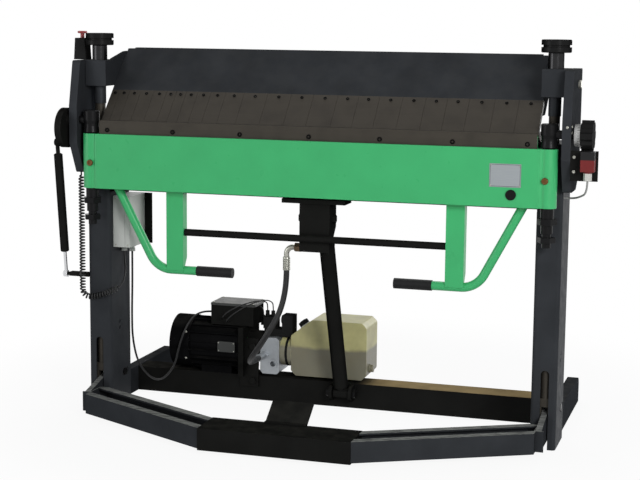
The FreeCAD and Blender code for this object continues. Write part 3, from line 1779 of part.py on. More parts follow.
def motor():
    y = MOTOR_Y
    core_start = "motor_x + fan_length"
    core = bar("motor_core", "x", core_start, y, "motor_z", "motor_radius",
               f"{motor_end} - ({core_start})")
    fan = bar("motor_fan_cover", "x", "motor_x", y, "motor_z", "fan_radius", "fan_length")
    slots = []
    count = int(number("fan_slot_count"))
    for index in range(count):
        offset = f"{index - (count - 1) / 2} * fan_slot_pitch"
        slots.append(block(f"fan_slot_{index}", "motor_x - 1", f"{y} - fan_slot_length / 2",
                           f"motor_z + {offset} - fan_slot_height / 2", "fan_slot_depth + 1",
                           "fan_slot_length", "fan_slot_height"))
    fins = []
    count = int(number("fin_count"))
    for index in range(count):
        fin = doc.addObject("Part::Box", f"motor_fin_{index}")
        bind(fin, Length=f"{motor_end} - ({core_start})", Width="fin_thick",
             Height="fin_radius - motor_radius + 2")
        angle = 360 / count * index
        place(fin, core_start, f"{y} - (motor_radius - 2) * sin({angle})",
              f"motor_z + (motor_radius - 2) * cos({angle})", (V(1, 0, 0), str(angle)))
        fins.append(fin)
    foot = block("motor_foot", f"{core_start} + fan_length / 2", "0 - cross_depth / 2",
                 "cross_height", f"{motor_end} - ({core_start}) - fan_length", "cross_depth",
                 "motor_z - cross_height")
    frame = fuse("motor_blank", core, *fins, foot)
    return fuse("motor", frame, cut("fan_cover", fan, *slots))


motor()


def terminal_box():
    y = f"{MOTOR_Y} - terminal_depth / 2"
    body = block("terminal_body", "terminal_x", y, "terminal_bottom", "terminal_length",
                 "terminal_depth", "terminal_height")
    return cut("terminal_box", body, doc.getObject("motor"))


terminal_box()


def pump_bracket():
    y = MOTOR_Y
    plate = block("pump_flange", "flange_x", f"{y} - flange_width / 2", "cross_height",
                  "flange_thick", "flange_width", "flange_height - flange_thick")
    apron = block("pump_apron", "flange_x", "0 - cross_depth / 2 - flange_foot_thick",
                  "flange_foot_low", "flange_foot_width", "flange_foot_thick",
                  "motor_z + apron_rise - flange_foot_low")
    bell = bar("pump_bell", "x", "flange_x + flange_thick", y, "motor_z", "bell_radius",
               "pump_x - flange_x - flange_thick")
    bolts = [hexagon(f"{height}_head", "y", "flange_x + apron_bolt_x",
                     "0 - cross_depth / 2 - flange_foot_thick - plate_bolt_head",
                     height, "plate_bolt_flats", "plate_bolt_head")
             for height in ("apron_bolt_low", "apron_bolt_high")]
    return fuse("pump_bracket", plate, apron, bell, *bolts)


pump_bracket()


def pump_block():
    front = behind("pump_front")
    body = doc.addObject("Part::Box", "pump_body")
    bind(body, Length="pump_width", Width="pump_depth", Height="pump_height")
    place(body, "pump_x", front, "pump_bottom")
    doc.recompute()
    along = edge_along(V(0, 1, 0))
    chamfered = doc.addObject("Part::Chamfer", "pump_chamfered")
    chamfered.Base = body
    size = number("pump_chamfer")
    chamfered.Edges = [(index + 1, size, size) for index, edge in enumerate(body.Shape.Edges)
                       if along(edge)]
    ring = bar("pump_ring", "y", "open_port_x", f"{front} - port_ring", "open_port_z",
               "open_port_radius", "port_ring")
    hole = bar("pump_port_hole", "y", "open_port_x", f"{front} - port_ring - 1", "open_port_z",
               "open_port_bore", "port_ring + 1 + open_port_depth")
    return cut("pump_drilled", fuse("pump_blank", chamfered, ring), hole)


pump_drilled = pump_block()
hose_port = hexagon("pump_port_nut", "y", "pump_port_x", behind("pump_port_near"), "pump_port_z",
                    "pump_port_flats", "pump_front - pump_port_near")
hose_ferrule = bar("pump_port_ferrule", "y", "pump_port_x",
                   behind("pump_port_near - ferrule_length"), "pump_port_z", "ferrule_radius",
                   "ferrule_length")
group("pump_block", pump_drilled, fuse("pump_port", hose_port, hose_ferrule))


def valve_block():
    y = f"{MOTOR_Y} - valve_depth / 2"
    low = "pump_bottom + pump_height"
    top = f"{low} + manifold_height"
    manifold = block("valve_manifold", "pump_x + manifold_inset", y, low,
                     "valve_x + valve_width - pump_x - 2 * manifold_inset", "valve_depth",
                     "manifold_height")
    tower = block("valve_tower", "valve_x", y, low, "valve_width", "valve_depth", "valve_height")
    coil = block("valve_coil", "pump_x", f"{MOTOR_Y} - coil_depth / 2", top, "coil_length",
                 "coil_depth", "coil_height")
    stubs = [bar(f"valve_stub_{name}", "z", f"pump_x + {name}", MOTOR_Y, f"{top} + coil_height",
                 "stub_radius", "stub_height") for name in ("stub_near", "stub_far")]
    shelf = block("valve_shelf", "pump_x - shelf_width", f"{MOTOR_Y} - shelf_depth / 2",
                  "shelf_bottom", "shelf_width", "shelf_depth", "shelf_height")
    side = bar("valve_stub_side", "z", "pump_x - stub_side", MOTOR_Y,
               "shelf_bottom + shelf_height", "stub_radius - 1", "stub_height")
    cap = bar("valve_cap", "x", "valve_x - valve_cap_length", MOTOR_Y, f"{low} + valve_cap_rise",
              "valve_cap_radius", "valve_cap_length")
    return fuse("valve_block", manifold, tower, coil, cap, shelf, side, *stubs)


valve_block()


def tank_outline(wall):
    # The front view of the tank; a wall above zero gives the hollow inside it.
    left = f"tank_x + {wall}"
    right = f"tank_x + tank_length - {wall}"
    low = f"tank_bottom + {wall}"
    top = f"tank_bottom + tank_height - {wall}"
    corner = "tank_chamfer"
    return [(left, f"{low} + {corner}"), (f"{left} + {corner}", low),
            (f"{right} - {corner}", low), (right, f"{low} + {corner}"),
            (right, f"{top} - {corner}"), (f"{right} - {corner}", top),
            (f"{left} + tank_slope_run", top), (left, f"{top} - tank_slope_drop")]


def oil_tank():
    rear = behind("tank_front + tank_depth")
    wall = "tank_wall"
    shell = prism("tank_shell", "XZ_Plane", [tank_outline("0")], "tank_depth", ("0", rear, "0"),
                  rounding=(edge_along(V(0, 1, 0)), "tank_round"))
    hollow = prism("tank_hollow", "XZ_Plane", [tank_outline(wall)], f"tank_depth - 2 * {wall}",
                   ("0", f"{rear} - {wall}", "0"))
    neck = bar("tank_neck", "x", "pump_x + pump_width", MOTOR_Y, "motor_z - neck_drop", "neck_radius",
               "tank_x - pump_x - pump_width")
    return fuse("oil_tank", cut("tank_hollowed", shell, hollow), neck)


oil_tank()


def tank_fittings():
    angle = "atan(tank_slope_drop / tank_slope_run)"
    middle_x = "tank_x + tank_slope_run / 2"
    middle_z = "tank_bottom + tank_height - tank_slope_drop / 2"
    cap = doc.addObject("Part::Cylinder", "tank_cap")
    bind(cap, Radius="cap_radius", Height="cap_length")
    place(cap, middle_x, behind("tank_front + tank_depth / 3"), middle_z,
          (V(0, -1, 0), angle))
    drain = hexagon("tank_drain", "x", "tank_x + tank_length", MOTOR_Y, "tank_bottom + drain_rise",
                    "2 * drain_radius", "drain_length")
    return group("tank_fittings", cap, drain)


tank_fittings()


# Cords: the points of each path stay as chosen, the ends sit on the pieces they join



def fixed(*rows):
    return [tuple(str(value) for value in row) for row in rows]


fitting_y = f"{behind('clevis_y')} - port_rise * sin({tilt})"
fitting_z = f"clevis_z + port_rise * cos({tilt}) - ferrule_top - ferrule_length"
hose_points = [("clevis_x - elbow_reach", fitting_y, fitting_z),
               ("clevis_x - elbow_reach", fitting_y, "350"),
               *fixed((-156, -270, 238), (-234, -218, 142)),
               ("pump_port_x", behind("pump_port_near - ferrule_length"), "pump_port_z")]
tube("hydraulic_hose", hose_points, "hose_radius")

power_points = [("0 - gland_right_x", box_gland_y, "box_bottom - box_gland_drop"),
                *fixed((-585, -221, 380), (-597, -200, 285), (-604, -182, 190),
                       (-596, -150, 100), (-556, -102, 42), (-508, -86, 88), (-488, -90, 172),
                       (-470, -66, 232), (-446, -26, 262)),
                ("terminal_x", "-26", "262")]
power_cable = tube("power_cable", power_points, "cable_radius")
stub_top = "pump_bottom + pump_height + manifold_height + coil_height + stub_height"
wire_far_points = fixed((-350, -40, 236), (-350, -60, 236), (-342, -76, 248), (-324, -78, 266),
                        (-296, -62, 286), (-266, -36, 301), (-238, -8, 306), (-223, 6, 297),
                        (-221, 8, 283.5)) + [("pump_x + stub_far", MOTOR_Y, stub_top)]
wire_near_points = fixed((-362, -40, 248), (-362, -59, 248), (-354, -74, 259), (-337, -77, 275),
                         (-311, -64, 290), (-282, -38, 300), (-256, -10, 303), (-241, 6, 296),
                         (-239, 8, 283)) + [("pump_x + stub_near", MOTOR_Y, stub_top)]
wire_side_points = fixed((-269, 8, 280), (-257.5, 8, 280), (-252, 8, 268)) + [
    ("pump_x - stub_side", MOTOR_Y, "shelf_bottom + shelf_height + stub_height")]
group("power_cables", power_cable, tube("wire_far", wire_far_points, "wire_radius"),
      tube("wire_near", wire_near_points, "wire_radius"),
      tube("wire_side", wire_side_points, "wire_radius"))

switch_points = [("switch_inner + switch_width / 2", f"{bracket_y} - switch_depth / 2",
                  "switch_bottom - gland_tall"),
                 *fixed((762, -380, 716), (738, -334, 700), (716, -286, 690)),
                 (COLUMN_OUTER, "-286", "690")]
tube("switch_cable", switch_points, "switch_cable_radius")


def arc_between(start, corner, end):
    # The arc that touches both legs of an equal-legged corner.
    leg = (corner - start).Length
    middle = (start + end) * 0.5
    half = math.acos(min(1, (middle - start).Length / leg))
    top = corner + (middle - corner).normalize() * (leg * math.tan(half / 2))
    return Part.Arc(start, top, end).toShape()


def biarc(start, start_way, end, end_way):
    # Two tangent arcs from one point and direction to the next.
    across = end - start
    both = start_way + end_way
    spread = 2 * (1 - start_way.dot(end_way))
    dot = across.dot(both)
    leg = (-dot + math.sqrt(dot * dot + spread * across.dot(across))) / spread
    first = start + start_way * leg
    last = end - end_way * leg
    joint = (first + last) * 0.5
    return [arc_between(start, first, joint), arc_between(joint, last, end)]


def curly_cord():
    # A cable that runs straight, winds in even curls round a bent axis and runs straight again.
    top = ("0 - curl_x", behind("curl_y"), "plate_bottom")
    y = str(number(behind("curl_y")))
    points = [top, *[(str(a), y, str(b)) for a, b in ((-702, 350), (-676, 338), (-578, 373))],
              *fixed((-584, -270, 415), (-610, -221, 437)),
              ("0 - gland_left_x", box_gland_y, "box_bottom - box_gland_drop")]
    radii = [26, 26, 20, 60, 18]
    axis = path_wire(points, radii)
    lead = number("3 * curl_cable_radius")
    curled = axis.Edges[:5]
    straight = [edge.Length for edge in curled]
    length = sum(straight) - 2 * lead
    turns = int(number("curl_count"))
    mean = number("curl_outer_radius - curl_cable_radius")
    along_y = V(0, 1, 0)

    def on_axis(distance):
        left = distance
        for edge in curled[:-1]:
            if left <= edge.Length:
                break
            left -= edge.Length
        else:
            edge = curled[-1]
        at = edge.getParameterByLength(min(left, edge.Length))
        return edge.valueAt(at), edge.tangentAt(at)

    def ease(value):
        value = max(0.0, min(1.0, value))
        return value * value * (3 - 2 * value)

    def winding(turn):
        point, way = on_axis(lead + length * turn / turns)
        swell = mean * ease(turn) * ease(turns - turn)
        angle = 2 * math.pi * turn
        side = way.cross(along_y)
        return point + side * (swell * math.cos(angle)) + along_y * (swell * math.sin(angle))

    def heading(turn):
        step = 1e-4
        return (winding(min(turns, turn + step)) - winding(max(0, turn - step))).normalize()

    parts = 4
    ticks = [tick / parts for tick in range(parts * turns + 1)]
    spots = [winding(tick) for tick in ticks]
    ways = [heading(tick) for tick in ticks]
    ways[0] = on_axis(lead)[1]
    ways[-1] = on_axis(lead + length)[1]
    edges = [Part.makeLine(curled[0].valueAt(curled[0].FirstParameter), spots[0])]
    for index in range(len(ticks) - 1):
        edges += biarc(spots[index], ways[index], spots[index + 1], ways[index + 1])
    fine = [winding(tick / 24) for tick in range(24 * turns + 1)]
    gap = min((fine[a] - fine[b]).Length for a in range(len(fine))
              for b in range(a + 16, min(a + 40, len(fine))))
    edges.append(Part.makeLine(spots[-1], axis.Edges[5].valueAt(axis.Edges[5].FirstParameter)))
    edges += axis.Edges[5:]
    item = doc.addObject("Part::Feature", "curly_cord")
    item.Shape = swept(Part.Wire(edges), number("curl_cable_radius"))
    print("curly_cord turns", turns, "least gap", round(gap - number("2 * curl_cable_radius"), 2),
          "volume", round(item.Shape.Volume), "expected",
          round(sum(edge.Length for edge in edges) * math.pi * number("curl_cable_radius") ** 2))
    return item


curly_cord()

group("side_brackets", spring_holder, switch_plate, box_plate)


# Names of the pieces that are written out, one file each

NODES = [
    "column_left", "column_right", "end_plate_left", "end_plate_right", "frame_bolts",
    "rear_feet", "rear_cross_beam", "frame_pins", "lower_beam", "lower_blade", "side_brackets",
    "upper_beam", "upper_cover", "blade_segments", "segment_screws", "end_blocks",
    "tie_spindles", "top_knob_left", "top_knob_right", "lift_bar", "lift_bracket",
    "cylinder_barrel", "cylinder_rod", "cylinder_fitting", "treadle_pedal", "treadle_arms",
    "tread_plate", "pivot_heads", "crank_disc", "angle_dial", "stop_knob",
    "folding_beam", "folding_rail", "rail_screws", "beam_bolts", "rating_plate", "beam_plug",
    "handles", "handle_grips", "cross_rod", "adjuster_left", "adjuster_right",
    "spring_rod", "spring_tube", "estop_housing", "estop_button", "limit_switch",
    "electric_box", "cable_glands", "motor", "terminal_box", "pump_bracket", "pump_block",
    "valve_block", "oil_tank", "tank_fittings", "hydraulic_hose", "power_cables",
    "switch_cable", "curly_cord",
]


def check(item):
    state = [word for word in ("Invalid", "Error") if word in item.State]
    if state:
        raise RuntimeError(f"{item.Label}: {state}")
    if hasattr(item, "Shape") and item.TypeId != "Spreadsheet::Sheet":
        if item.TypeId.startswith("App::") or item.TypeId == "Sketcher::SketchObject":
            return
        if item.Shape.isNull() or not item.Shape.isValid():
            raise RuntimeError(f"{item.Label}: empty or broken shape")


doc.recompute()
for item in doc.Objects:
    check(item)

os.makedirs("parts", exist_ok=True)
for name in NODES:
    item = doc.getObject(name)
    box = item.Shape.BoundBox
    print(f"{name}: solids {len(item.Shape.Solids)}, volume {item.Shape.Volume / 1000:.1f} cm3, "
          f"X {box.XMin:.1f} {box.XMax:.1f}, Y {box.YMin:.1f} {box.YMax:.1f}, "
          f"Z {box.ZMin:.1f} {box.ZMax:.1f}")
    item.Shape.exportStep(f"parts/{name}.step")
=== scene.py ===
# The looks of a manual sheet metal brake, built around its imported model.
# The scene is in metres. The small pieces and the cords' routes are given in millimetres, and
# are scaled as they are made.
import json
import math

import bmesh
import bpy
from mathutils import Matrix, Vector


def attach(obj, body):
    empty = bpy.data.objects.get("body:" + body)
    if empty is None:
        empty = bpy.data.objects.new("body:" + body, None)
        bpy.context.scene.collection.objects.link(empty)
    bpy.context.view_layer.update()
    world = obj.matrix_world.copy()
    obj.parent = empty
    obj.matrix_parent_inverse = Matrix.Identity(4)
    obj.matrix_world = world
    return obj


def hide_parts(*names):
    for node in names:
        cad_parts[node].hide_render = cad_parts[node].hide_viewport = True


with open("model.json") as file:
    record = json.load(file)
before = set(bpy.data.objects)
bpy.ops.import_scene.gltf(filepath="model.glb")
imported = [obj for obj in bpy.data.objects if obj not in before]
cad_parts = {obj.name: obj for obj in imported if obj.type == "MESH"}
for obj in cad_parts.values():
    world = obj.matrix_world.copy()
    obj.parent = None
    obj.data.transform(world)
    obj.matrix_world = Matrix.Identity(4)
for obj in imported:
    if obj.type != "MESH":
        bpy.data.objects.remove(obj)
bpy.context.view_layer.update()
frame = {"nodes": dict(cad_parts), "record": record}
nodes = frame["nodes"]
scene = bpy.context.scene
MM = 0.001
X, Y, Z = 0, 1, 2


# Camera: the photograph's place, direction and field of view

CAMERA_AT = Vector((1.235, -4.326, 1.1725))
CAMERA_YAW = math.radians(16.81)
CAMERA_PITCH = math.radians(8.50)
CAMERA_ROLL = math.radians(0.55)
FOCAL_PIXELS = 1524.9
PHOTO_WIDTH = 640
SENSOR_WIDTH = 36.0


def make_camera():
    forward = Vector((-math.sin(CAMERA_YAW) * math.cos(CAMERA_PITCH),
                      math.cos(CAMERA_YAW) * math.cos(CAMERA_PITCH), -math.sin(CAMERA_PITCH)))
    level = Vector((math.cos(CAMERA_YAW), math.sin(CAMERA_YAW), 0))
    upright = level.cross(forward)
    right = level * math.cos(CAMERA_ROLL) + upright * math.sin(CAMERA_ROLL)
    above = upright * math.cos(CAMERA_ROLL) - level * math.sin(CAMERA_ROLL)
    data = bpy.data.cameras.new("camera")
    data.sensor_width = SENSOR_WIDTH
    data.lens = FOCAL_PIXELS / PHOTO_WIDTH * SENSOR_WIDTH
    camera = bpy.data.objects.new("camera", data)
    scene.collection.objects.link(camera)
    turn = Matrix((right, above, -forward)).transposed()
    camera.matrix_world = Matrix.Translation(CAMERA_AT) @ turn.to_4x4()
    scene.camera = camera


# Floor, surroundings and lamps

WHITE = (1.0, 1.0, 1.0, 1.0)
SKY_TINT = (0.93, 0.96, 1.0, 1.0)
SKY_LIGHT = 0.24
FLOOR_HALF = 9.0
FLOOR_GREY = (0.86, 0.86, 0.86, 1.0)
# The share of plain white in the floor near the object, and the distances from the origin
# between which it grows to one.
FLOOR_GLOW = 0.92
FLOOR_FADE = (0.8, 1.5)
LAMP_AIM = Vector((0.0, -0.25, 0.65))
# Each lamp's place, width and power in watts
LAMPS = {"key": ((2.9, -3.9, 2.1), 1.6, 128), "fill": ((-3.6, -3.2, 1.3), 2.2, 38),
         "top": ((-0.6, 1.9, 3.6), 2.2, 34), "back": ((1.6, 3.2, 1.6), 2.0, 30)}


def seen_directly(tree):
    # One for rays that show the background itself: camera, mirror and see-through rays.
    path = tree.nodes.new("ShaderNodeLightPath")
    total = path.outputs["Is Camera Ray"]
    for name in ("Is Glossy Ray", "Is Transmission Ray"):
        larger = tree.nodes.new("ShaderNodeMath")
        larger.operation = "MAXIMUM"
        tree.links.new(total, larger.inputs[0])
        tree.links.new(path.outputs[name], larger.inputs[1])
        total = larger.outputs[0]
    return total


def mixed_surface(tree, out_kind, share, first, second):
    # Wires two shaders, mixed by a share, to the tree's output.
    out = tree.nodes.new(out_kind)
    mix = tree.nodes.new("ShaderNodeMixShader")
    for source, target in zip((share, first, second), mix.inputs):
        tree.links.new(source, target)
    tree.links.new(mix.outputs[0], out.inputs["Surface"])


def plain_shader(tree, kind, colour, strength=None):
    # A shader of one colour. Only a background is given a strength.
    node = tree.nodes.new(kind)
    node.inputs["Color"].default_value = colour
    if strength is not None:
        node.inputs["Strength"].default_value = strength
    return node.outputs[0]


def make_world():
    world = bpy.data.worlds.new("surroundings")
    scene.world = world
    world.use_nodes = True
    tree = world.node_tree
    tree.nodes.clear()
    mixed_surface(tree, "ShaderNodeOutputWorld", seen_directly(tree),
                  plain_shader(tree, "ShaderNodeBackground", SKY_TINT, SKY_LIGHT),
                  plain_shader(tree, "ShaderNodeBackground", WHITE, 1.0))


def floor_material():
    # A pale floor that keeps the shadow, lifted towards white where it is seen directly.
    material = bpy.data.materials.new("floor")
    material.use_nodes = True
    tree = material.node_tree
    tree.nodes.clear()
    place = tree.nodes.new("ShaderNodeTexCoord")
    away = tree.nodes.new("ShaderNodeVectorMath")
    away.operation = "LENGTH"
    tree.links.new(place.outputs["Object"], away.inputs[0])
    fade = tree.nodes.new("ShaderNodeMapRange")
    fade.interpolation_type = "SMOOTHSTEP"
    for name, value in (("From Min", FLOOR_FADE[0]), ("From Max", FLOOR_FADE[1]),
                        ("To Min", FLOOR_GLOW), ("To Max", 1.0)):
        fade.inputs[name].default_value = value
    tree.links.new(away.outputs["Value"], fade.inputs["Value"])
    share = tree.nodes.new("ShaderNodeMath")
    share.operation = "MULTIPLY"
    tree.links.new(seen_directly(tree), share.inputs[0])
    tree.links.new(fade.outputs["Result"], share.inputs[1])
    mixed_surface(tree, "ShaderNodeOutputMaterial", share.outputs[0],
                  plain_shader(tree, "ShaderNodeBsdfDiffuse", FLOOR_GREY),
                  plain_shader(tree, "ShaderNodeEmission", WHITE))
    return material


def make_floor():
    half = FLOOR_HALF
    mesh = bpy.data.meshes.new("floor")
    mesh.from_pydata([(-half, -half, 0), (half, -half, 0), (half, half, 0), (-half, half, 0)],
                     [], [(0, 1, 2, 3)])
    mesh.materials.append(floor_material())
    floor = bpy.data.objects.new("floor", mesh)
    scene.collection.objects.link(floor)


def make_lamp(name, at, width, power):
    data = bpy.data.lights.new(name, "AREA")
    data.shape = "DISK"
    data.size = width
    data.energy = power
    lamp = bpy.data.objects.new(name, data)
    scene.collection.objects.link(lamp)
    lamp.location = at
    lamp.rotation_mode = "QUATERNION"
    lamp.rotation_quaternion = (LAMP_AIM - Vector(at)).to_track_quat("-Z", "Y")


scene.view_settings.view_transform = "Standard"
make_camera()
make_world()
make_floor()
for lamp_name, lamp_row in LAMPS.items():
    make_lamp(lamp_name, *lamp_row)


# Procedural finishes

def srgb(red, green, blue):
    # A colour of 0 to 255, as it is read off a screen, in linear light.
    def linear(value):
        share = value / 255
        return share / 12.92 if share <= 0.04045 else ((share + 0.055) / 1.055) ** 2.4
    return (linear(red), linear(green), linear(blue), 1.0)


def shade(colour, share):
    return tuple(min(1.0, value * share) for value in colour[:3]) + (1.0,)


class Finish:
    # A principled material, and the words that its procedural nodes are wired with.

    def __init__(self, name, roughness, metallic=0.0, specular=0.5):
        self.material = bpy.data.materials.new(name)
        self.material.use_nodes = True
        self.tree = self.material.node_tree
        self.shader = self.tree.nodes["Principled BSDF"]
        self.shader.inputs["Metallic"].default_value = metallic
        self.shader.inputs["Specular IOR Level"].default_value = specular
        self.shader.inputs["Roughness"].default_value = roughness
        self.place = self.add("ShaderNodeTexCoord")

    def add(self, kind, **settings):
        node = self.tree.nodes.new(kind)
        for name, value in settings.items():
            setattr(node, name, value)
        return node

    def wire(self, source, target):
        # source is another node's output, or a plain number or colour.
        if isinstance(source, bpy.types.NodeSocket):
            self.tree.links.new(source, target)
        else:
            target.default_value = source

    def noise(self, size, detail=2.0, stretch=(1, 1, 1)):
        # Blotches of about that size, drawn out along the axes with a larger stretch.
        mapping = self.add("ShaderNodeMapping")
        mapping.inputs["Scale"].default_value = [1 / (size * share) for share in stretch]
        self.wire(self.place.outputs["Object"], mapping.inputs["Vector"])
        noise = self.add("ShaderNodeTexNoise")
        noise.inputs["Scale"].default_value = 1.0
        noise.inputs["Detail"].default_value = detail
        self.wire(mapping.outputs["Vector"], noise.inputs["Vector"])
        return noise.outputs["Fac"]

    def spread(self, value, to, over=(0.0, 1.0)):
        # Carries a value that runs over one range to another, and holds it at the ends.
        node = self.add("ShaderNodeMapRange")
        self.wire(value, node.inputs["Value"])
        for name, number in zip(("From Min", "From Max", "To Min", "To Max"), (*over, *to)):
            node.inputs[name].default_value = number
        return node.outputs["Result"]

    def patches(self, size, detail, to, over=(0.0, 1.0), stretch=(1, 1, 1)):
        # Blotches whose strength is carried from one range to another.
        return self.spread(self.noise(size, detail, stretch), to, over)

    def reckon(self, operation, first, second=0.0):
        node = self.add("ShaderNodeMath", operation=operation)
        self.wire(first, node.inputs[0])
        self.wire(second, node.inputs[1])
        return node.outputs[0]

    def times(self, first, second):
        return self.reckon("MULTIPLY", first, second)

    def mix(self, share, first, second):
        node = self.add("ShaderNodeMix", data_type="RGBA")
        self.wire(share, node.inputs[0])
        self.wire(first, node.inputs[6])
        self.wire(second, node.inputs[7])
        return node.outputs[2]

    def axis(self, output, index):
        # One coordinate of the place or of the surface's direction, in the part's frame.
        node = self.add("ShaderNodeSeparateXYZ")
        self.wire(self.place.outputs[output], node.inputs[0])
        return node.outputs[index]

    def facing_up(self, over, most=1.0):
        # From 0 to most, as the surface turns to face up.
        return self.spread(self.axis("Normal", Z), (0.0, most), over)

    def rounded(self, radius):
        # A normal that rounds every edge.
        bevel = self.add("ShaderNodeBevel", samples=4)
        bevel.inputs["Radius"].default_value = radius
        return bevel.outputs["Normal"]

    def edge(self, rounded):
        # How much of an edge a spot is, from 0 to 1.
        flat = self.add("ShaderNodeNewGeometry")
        dot = self.add("ShaderNodeVectorMath", operation="DOT_PRODUCT")
        self.wire(rounded, dot.inputs[0])
        self.wire(flat.outputs["Normal"], dot.inputs[1])
        return self.spread(dot.outputs["Value"], (1.0, 0.0), (0.75, 0.99))

    def bump(self, height, strength, depth, normal):
        node = self.add("ShaderNodeBump")
        node.inputs["Strength"].default_value = strength
        node.inputs["Distance"].default_value = depth
        self.wire(height, node.inputs["Height"])
        self.wire(normal, node.inputs["Normal"])
        return node.outputs["Normal"]

    def darken_rims(self, share):
        # Lets a metallic finish reflect only that share where it is seen at a low angle.
        self.shader.inputs["Specular Tint"].default_value = (share, share, share, 1.0)

    def finish(self, colour, roughness, normal):
        self.wire(colour, self.shader.inputs["Base Color"])
        self.wire(roughness, self.shader.inputs["Roughness"])
        self.wire(normal, self.shader.inputs["Normal"])
        return self.material


GREEN = srgb(62, 175, 108)
ANTHRACITE = srgb(52, 54, 57)
BLACK = srgb(29, 29, 28)
PALE_WEAR = srgb(112, 112, 108)
DUST = srgb(150, 146, 136)
# A dark coat gets its highlights from a metallic share, so that it stays dark at its rims.
DARK = {"specular": 0.0, "metallic": 0.3}
DARK_RIMS = 0.14


def coat(name, colour, roughness, specular=0.5, metallic=0.0, grain=1.6, relief=0.25,
         blotch=0.12, wear=0.0, worn=PALE_WEAR, dust=0.0, radius=1.2):
    # A sprayed or powder coat: fine orange peel, uneven tone, dust on top and worn edges.
    # grain and radius, the size of the peel and of the rounded edges, are in millimetres.
    surface = Finish(name, roughness, metallic, specular)
    if metallic:
        surface.darken_rims(DARK_RIMS)
    normal = surface.rounded(radius * MM)
    tone = surface.mix(surface.patches(90 * MM, 3.0, (0.0, 1.0), (0.3, 0.7)),
                       shade(colour, 1 - blotch), shade(colour, 1 + blotch))
    if dust:
        patchy_share = surface.patches(35 * MM, 4.0, (0.2, 1.0), (0.35, 0.7))
        tone = surface.mix(surface.times(surface.facing_up((0.6, 1.0), dust), patchy_share), tone, DUST)
    if wear:
        chips = surface.patches(9 * MM, 4.0, (0.0, wear), (0.48, 0.72))
        tone = surface.mix(surface.times(surface.edge(normal), chips), tone, worn)
    rough = surface.patches(24 * MM, 3.0, (roughness - 0.06, roughness + 0.06), (0.3, 0.7))
    peel = surface.bump(surface.noise(grain * MM, 2.0), relief, 0.1 * MM, normal)
    return surface, tone, rough, peel


def coated(name, **choices):
    surface, tone, rough, normal = coat(name, **choices)
    return surface.finish(tone, rough, normal)


def metal(name, colour, roughness, metallic=1.0, specular=0.5, stretch=(1, 1, 1), grain=0.8,
          relief=0.2, blotch=0.1, stain=None, radius=0.8):
    # Bare metal with its rolling or turning marks, darker stains where it has them, and a painted
    # highlight along its rounded edges.
    # grain and radius, the size of the marks and of the rounded edges, are in millimetres.
    surface = Finish(name, roughness, metallic, specular)
    size = grain * MM
    normal = surface.rounded(radius * MM)
    tone = surface.mix(surface.noise(size * 6, 3.0, stretch), shade(colour, 1 - blotch),
                       shade(colour, 1 + blotch))
    if stain:
        tone = surface.mix(surface.patches(60 * MM, 5.0, (0.0, 0.6), (0.45, 0.75)), tone, stain)
    # Painted highlight: the rounded edges are painted lighter, up to 2.2 times the colour.
    tone = surface.mix(surface.times(surface.edge(normal), 0.35), tone, shade(colour, 2.2))
    rough = surface.patches(size * 3, 4.0, (roughness - 0.08, roughness + 0.1), (0.3, 0.7),
                            stretch)
    marks = surface.noise(size, 3.0, stretch)
    return surface.finish(tone, rough, surface.bump(marks, relief, 0.08 * MM, normal))


def trodden_coat():
    # The treadle's arms: boots have rubbed the coat off the tops of their lips.
    surface, tone, rough, normal = coat("anthracite_trodden", ANTHRACITE, 0.42, **DARK,
                                        wear=0.6, dust=0.15)
    scratches = surface.patches(5 * MM, 5.0, (0.25, 1.0), (0.35, 0.6), (9, 1, 1))
    share = surface.times(surface.facing_up((0.7, 0.95)), scratches)
    return surface.finish(surface.mix(share, tone, srgb(138, 139, 136)), rough, normal)


# Where the rear beam's top starts to turn pale, to the right of the tank
TINT_START, TINT_FULL = 60 * MM, 110 * MM


def rear_beam_coat():
    # The rear beam: black, and lighter and tan on its upward faces to the right of the tank.
    surface, tone, rough, normal = coat("black_beam", BLACK, 0.38, **DARK, wear=0.3, dust=0.08)
    along = surface.spread(surface.axis("Object", X), (0.0, 1.0), (TINT_START, TINT_FULL))
    # Patches of the pale tan on the upward faces.
    patchy_share = surface.patches(50 * MM, 4.0, (0.75, 1.0), (0.3, 0.6))
    share = surface.times(surface.times(surface.facing_up((0.7, 0.95)), along), patchy_share)
    return surface.finish(surface.mix(share, tone, srgb(158, 140, 106)), rough, normal)


OIL_LEVEL = (168 * MM, 178 * MM)
OIL_WOBBLE = 8 * MM


def tank_plastic():
    # Blown plastic: yellowed above the oil, greyer where the oil stands behind the wall, with a
    # pale painted highlight along its rounded edges.
    surface = Finish("tank_plastic", 0.38)
    normal = surface.rounded(3 * MM)
    wobble = surface.patches(50 * MM, 3.0, (-OIL_WOBBLE, OIL_WOBBLE))
    height = surface.reckon("ADD", surface.axis("Object", Z), wobble)
    above = surface.spread(height, (0.0, 1.0), OIL_LEVEL)
    tone = surface.mix(above, srgb(124, 121, 104), srgb(192, 187, 134))
    cloud = surface.patches(70 * MM, 4.0, (0.0, 0.5), (0.4, 0.8))
    tone = surface.mix(cloud, tone, srgb(116, 108, 86))
    # Painted highlight: the rounded edges are painted pale.
    tone = surface.mix(surface.times(surface.edge(normal), 0.4), tone, srgb(205, 202, 160))
    rough = surface.patches(12 * MM, 3.0, (0.3, 0.46))
    surface.shader.inputs["Subsurface Weight"].default_value = 0.25
    surface.shader.inputs["Subsurface Radius"].default_value = (0.02, 0.018, 0.01)
    surface.shader.inputs["Subsurface Scale"].default_value = 0.4
    ripple = surface.noise(6 * MM, 2.0)
    return surface.finish(tone, rough, surface.bump(ripple, 0.2, 0.2 * MM, normal))


# The rating plate's middle and half size along x and z
PLATE_X, PLATE_Z = 545, 752
PLATE_HALF_X, PLATE_HALF_Z = 42, 31
PLATE_LINE_INSET = 2.2
PLATE_LINE_HALF = 0.5


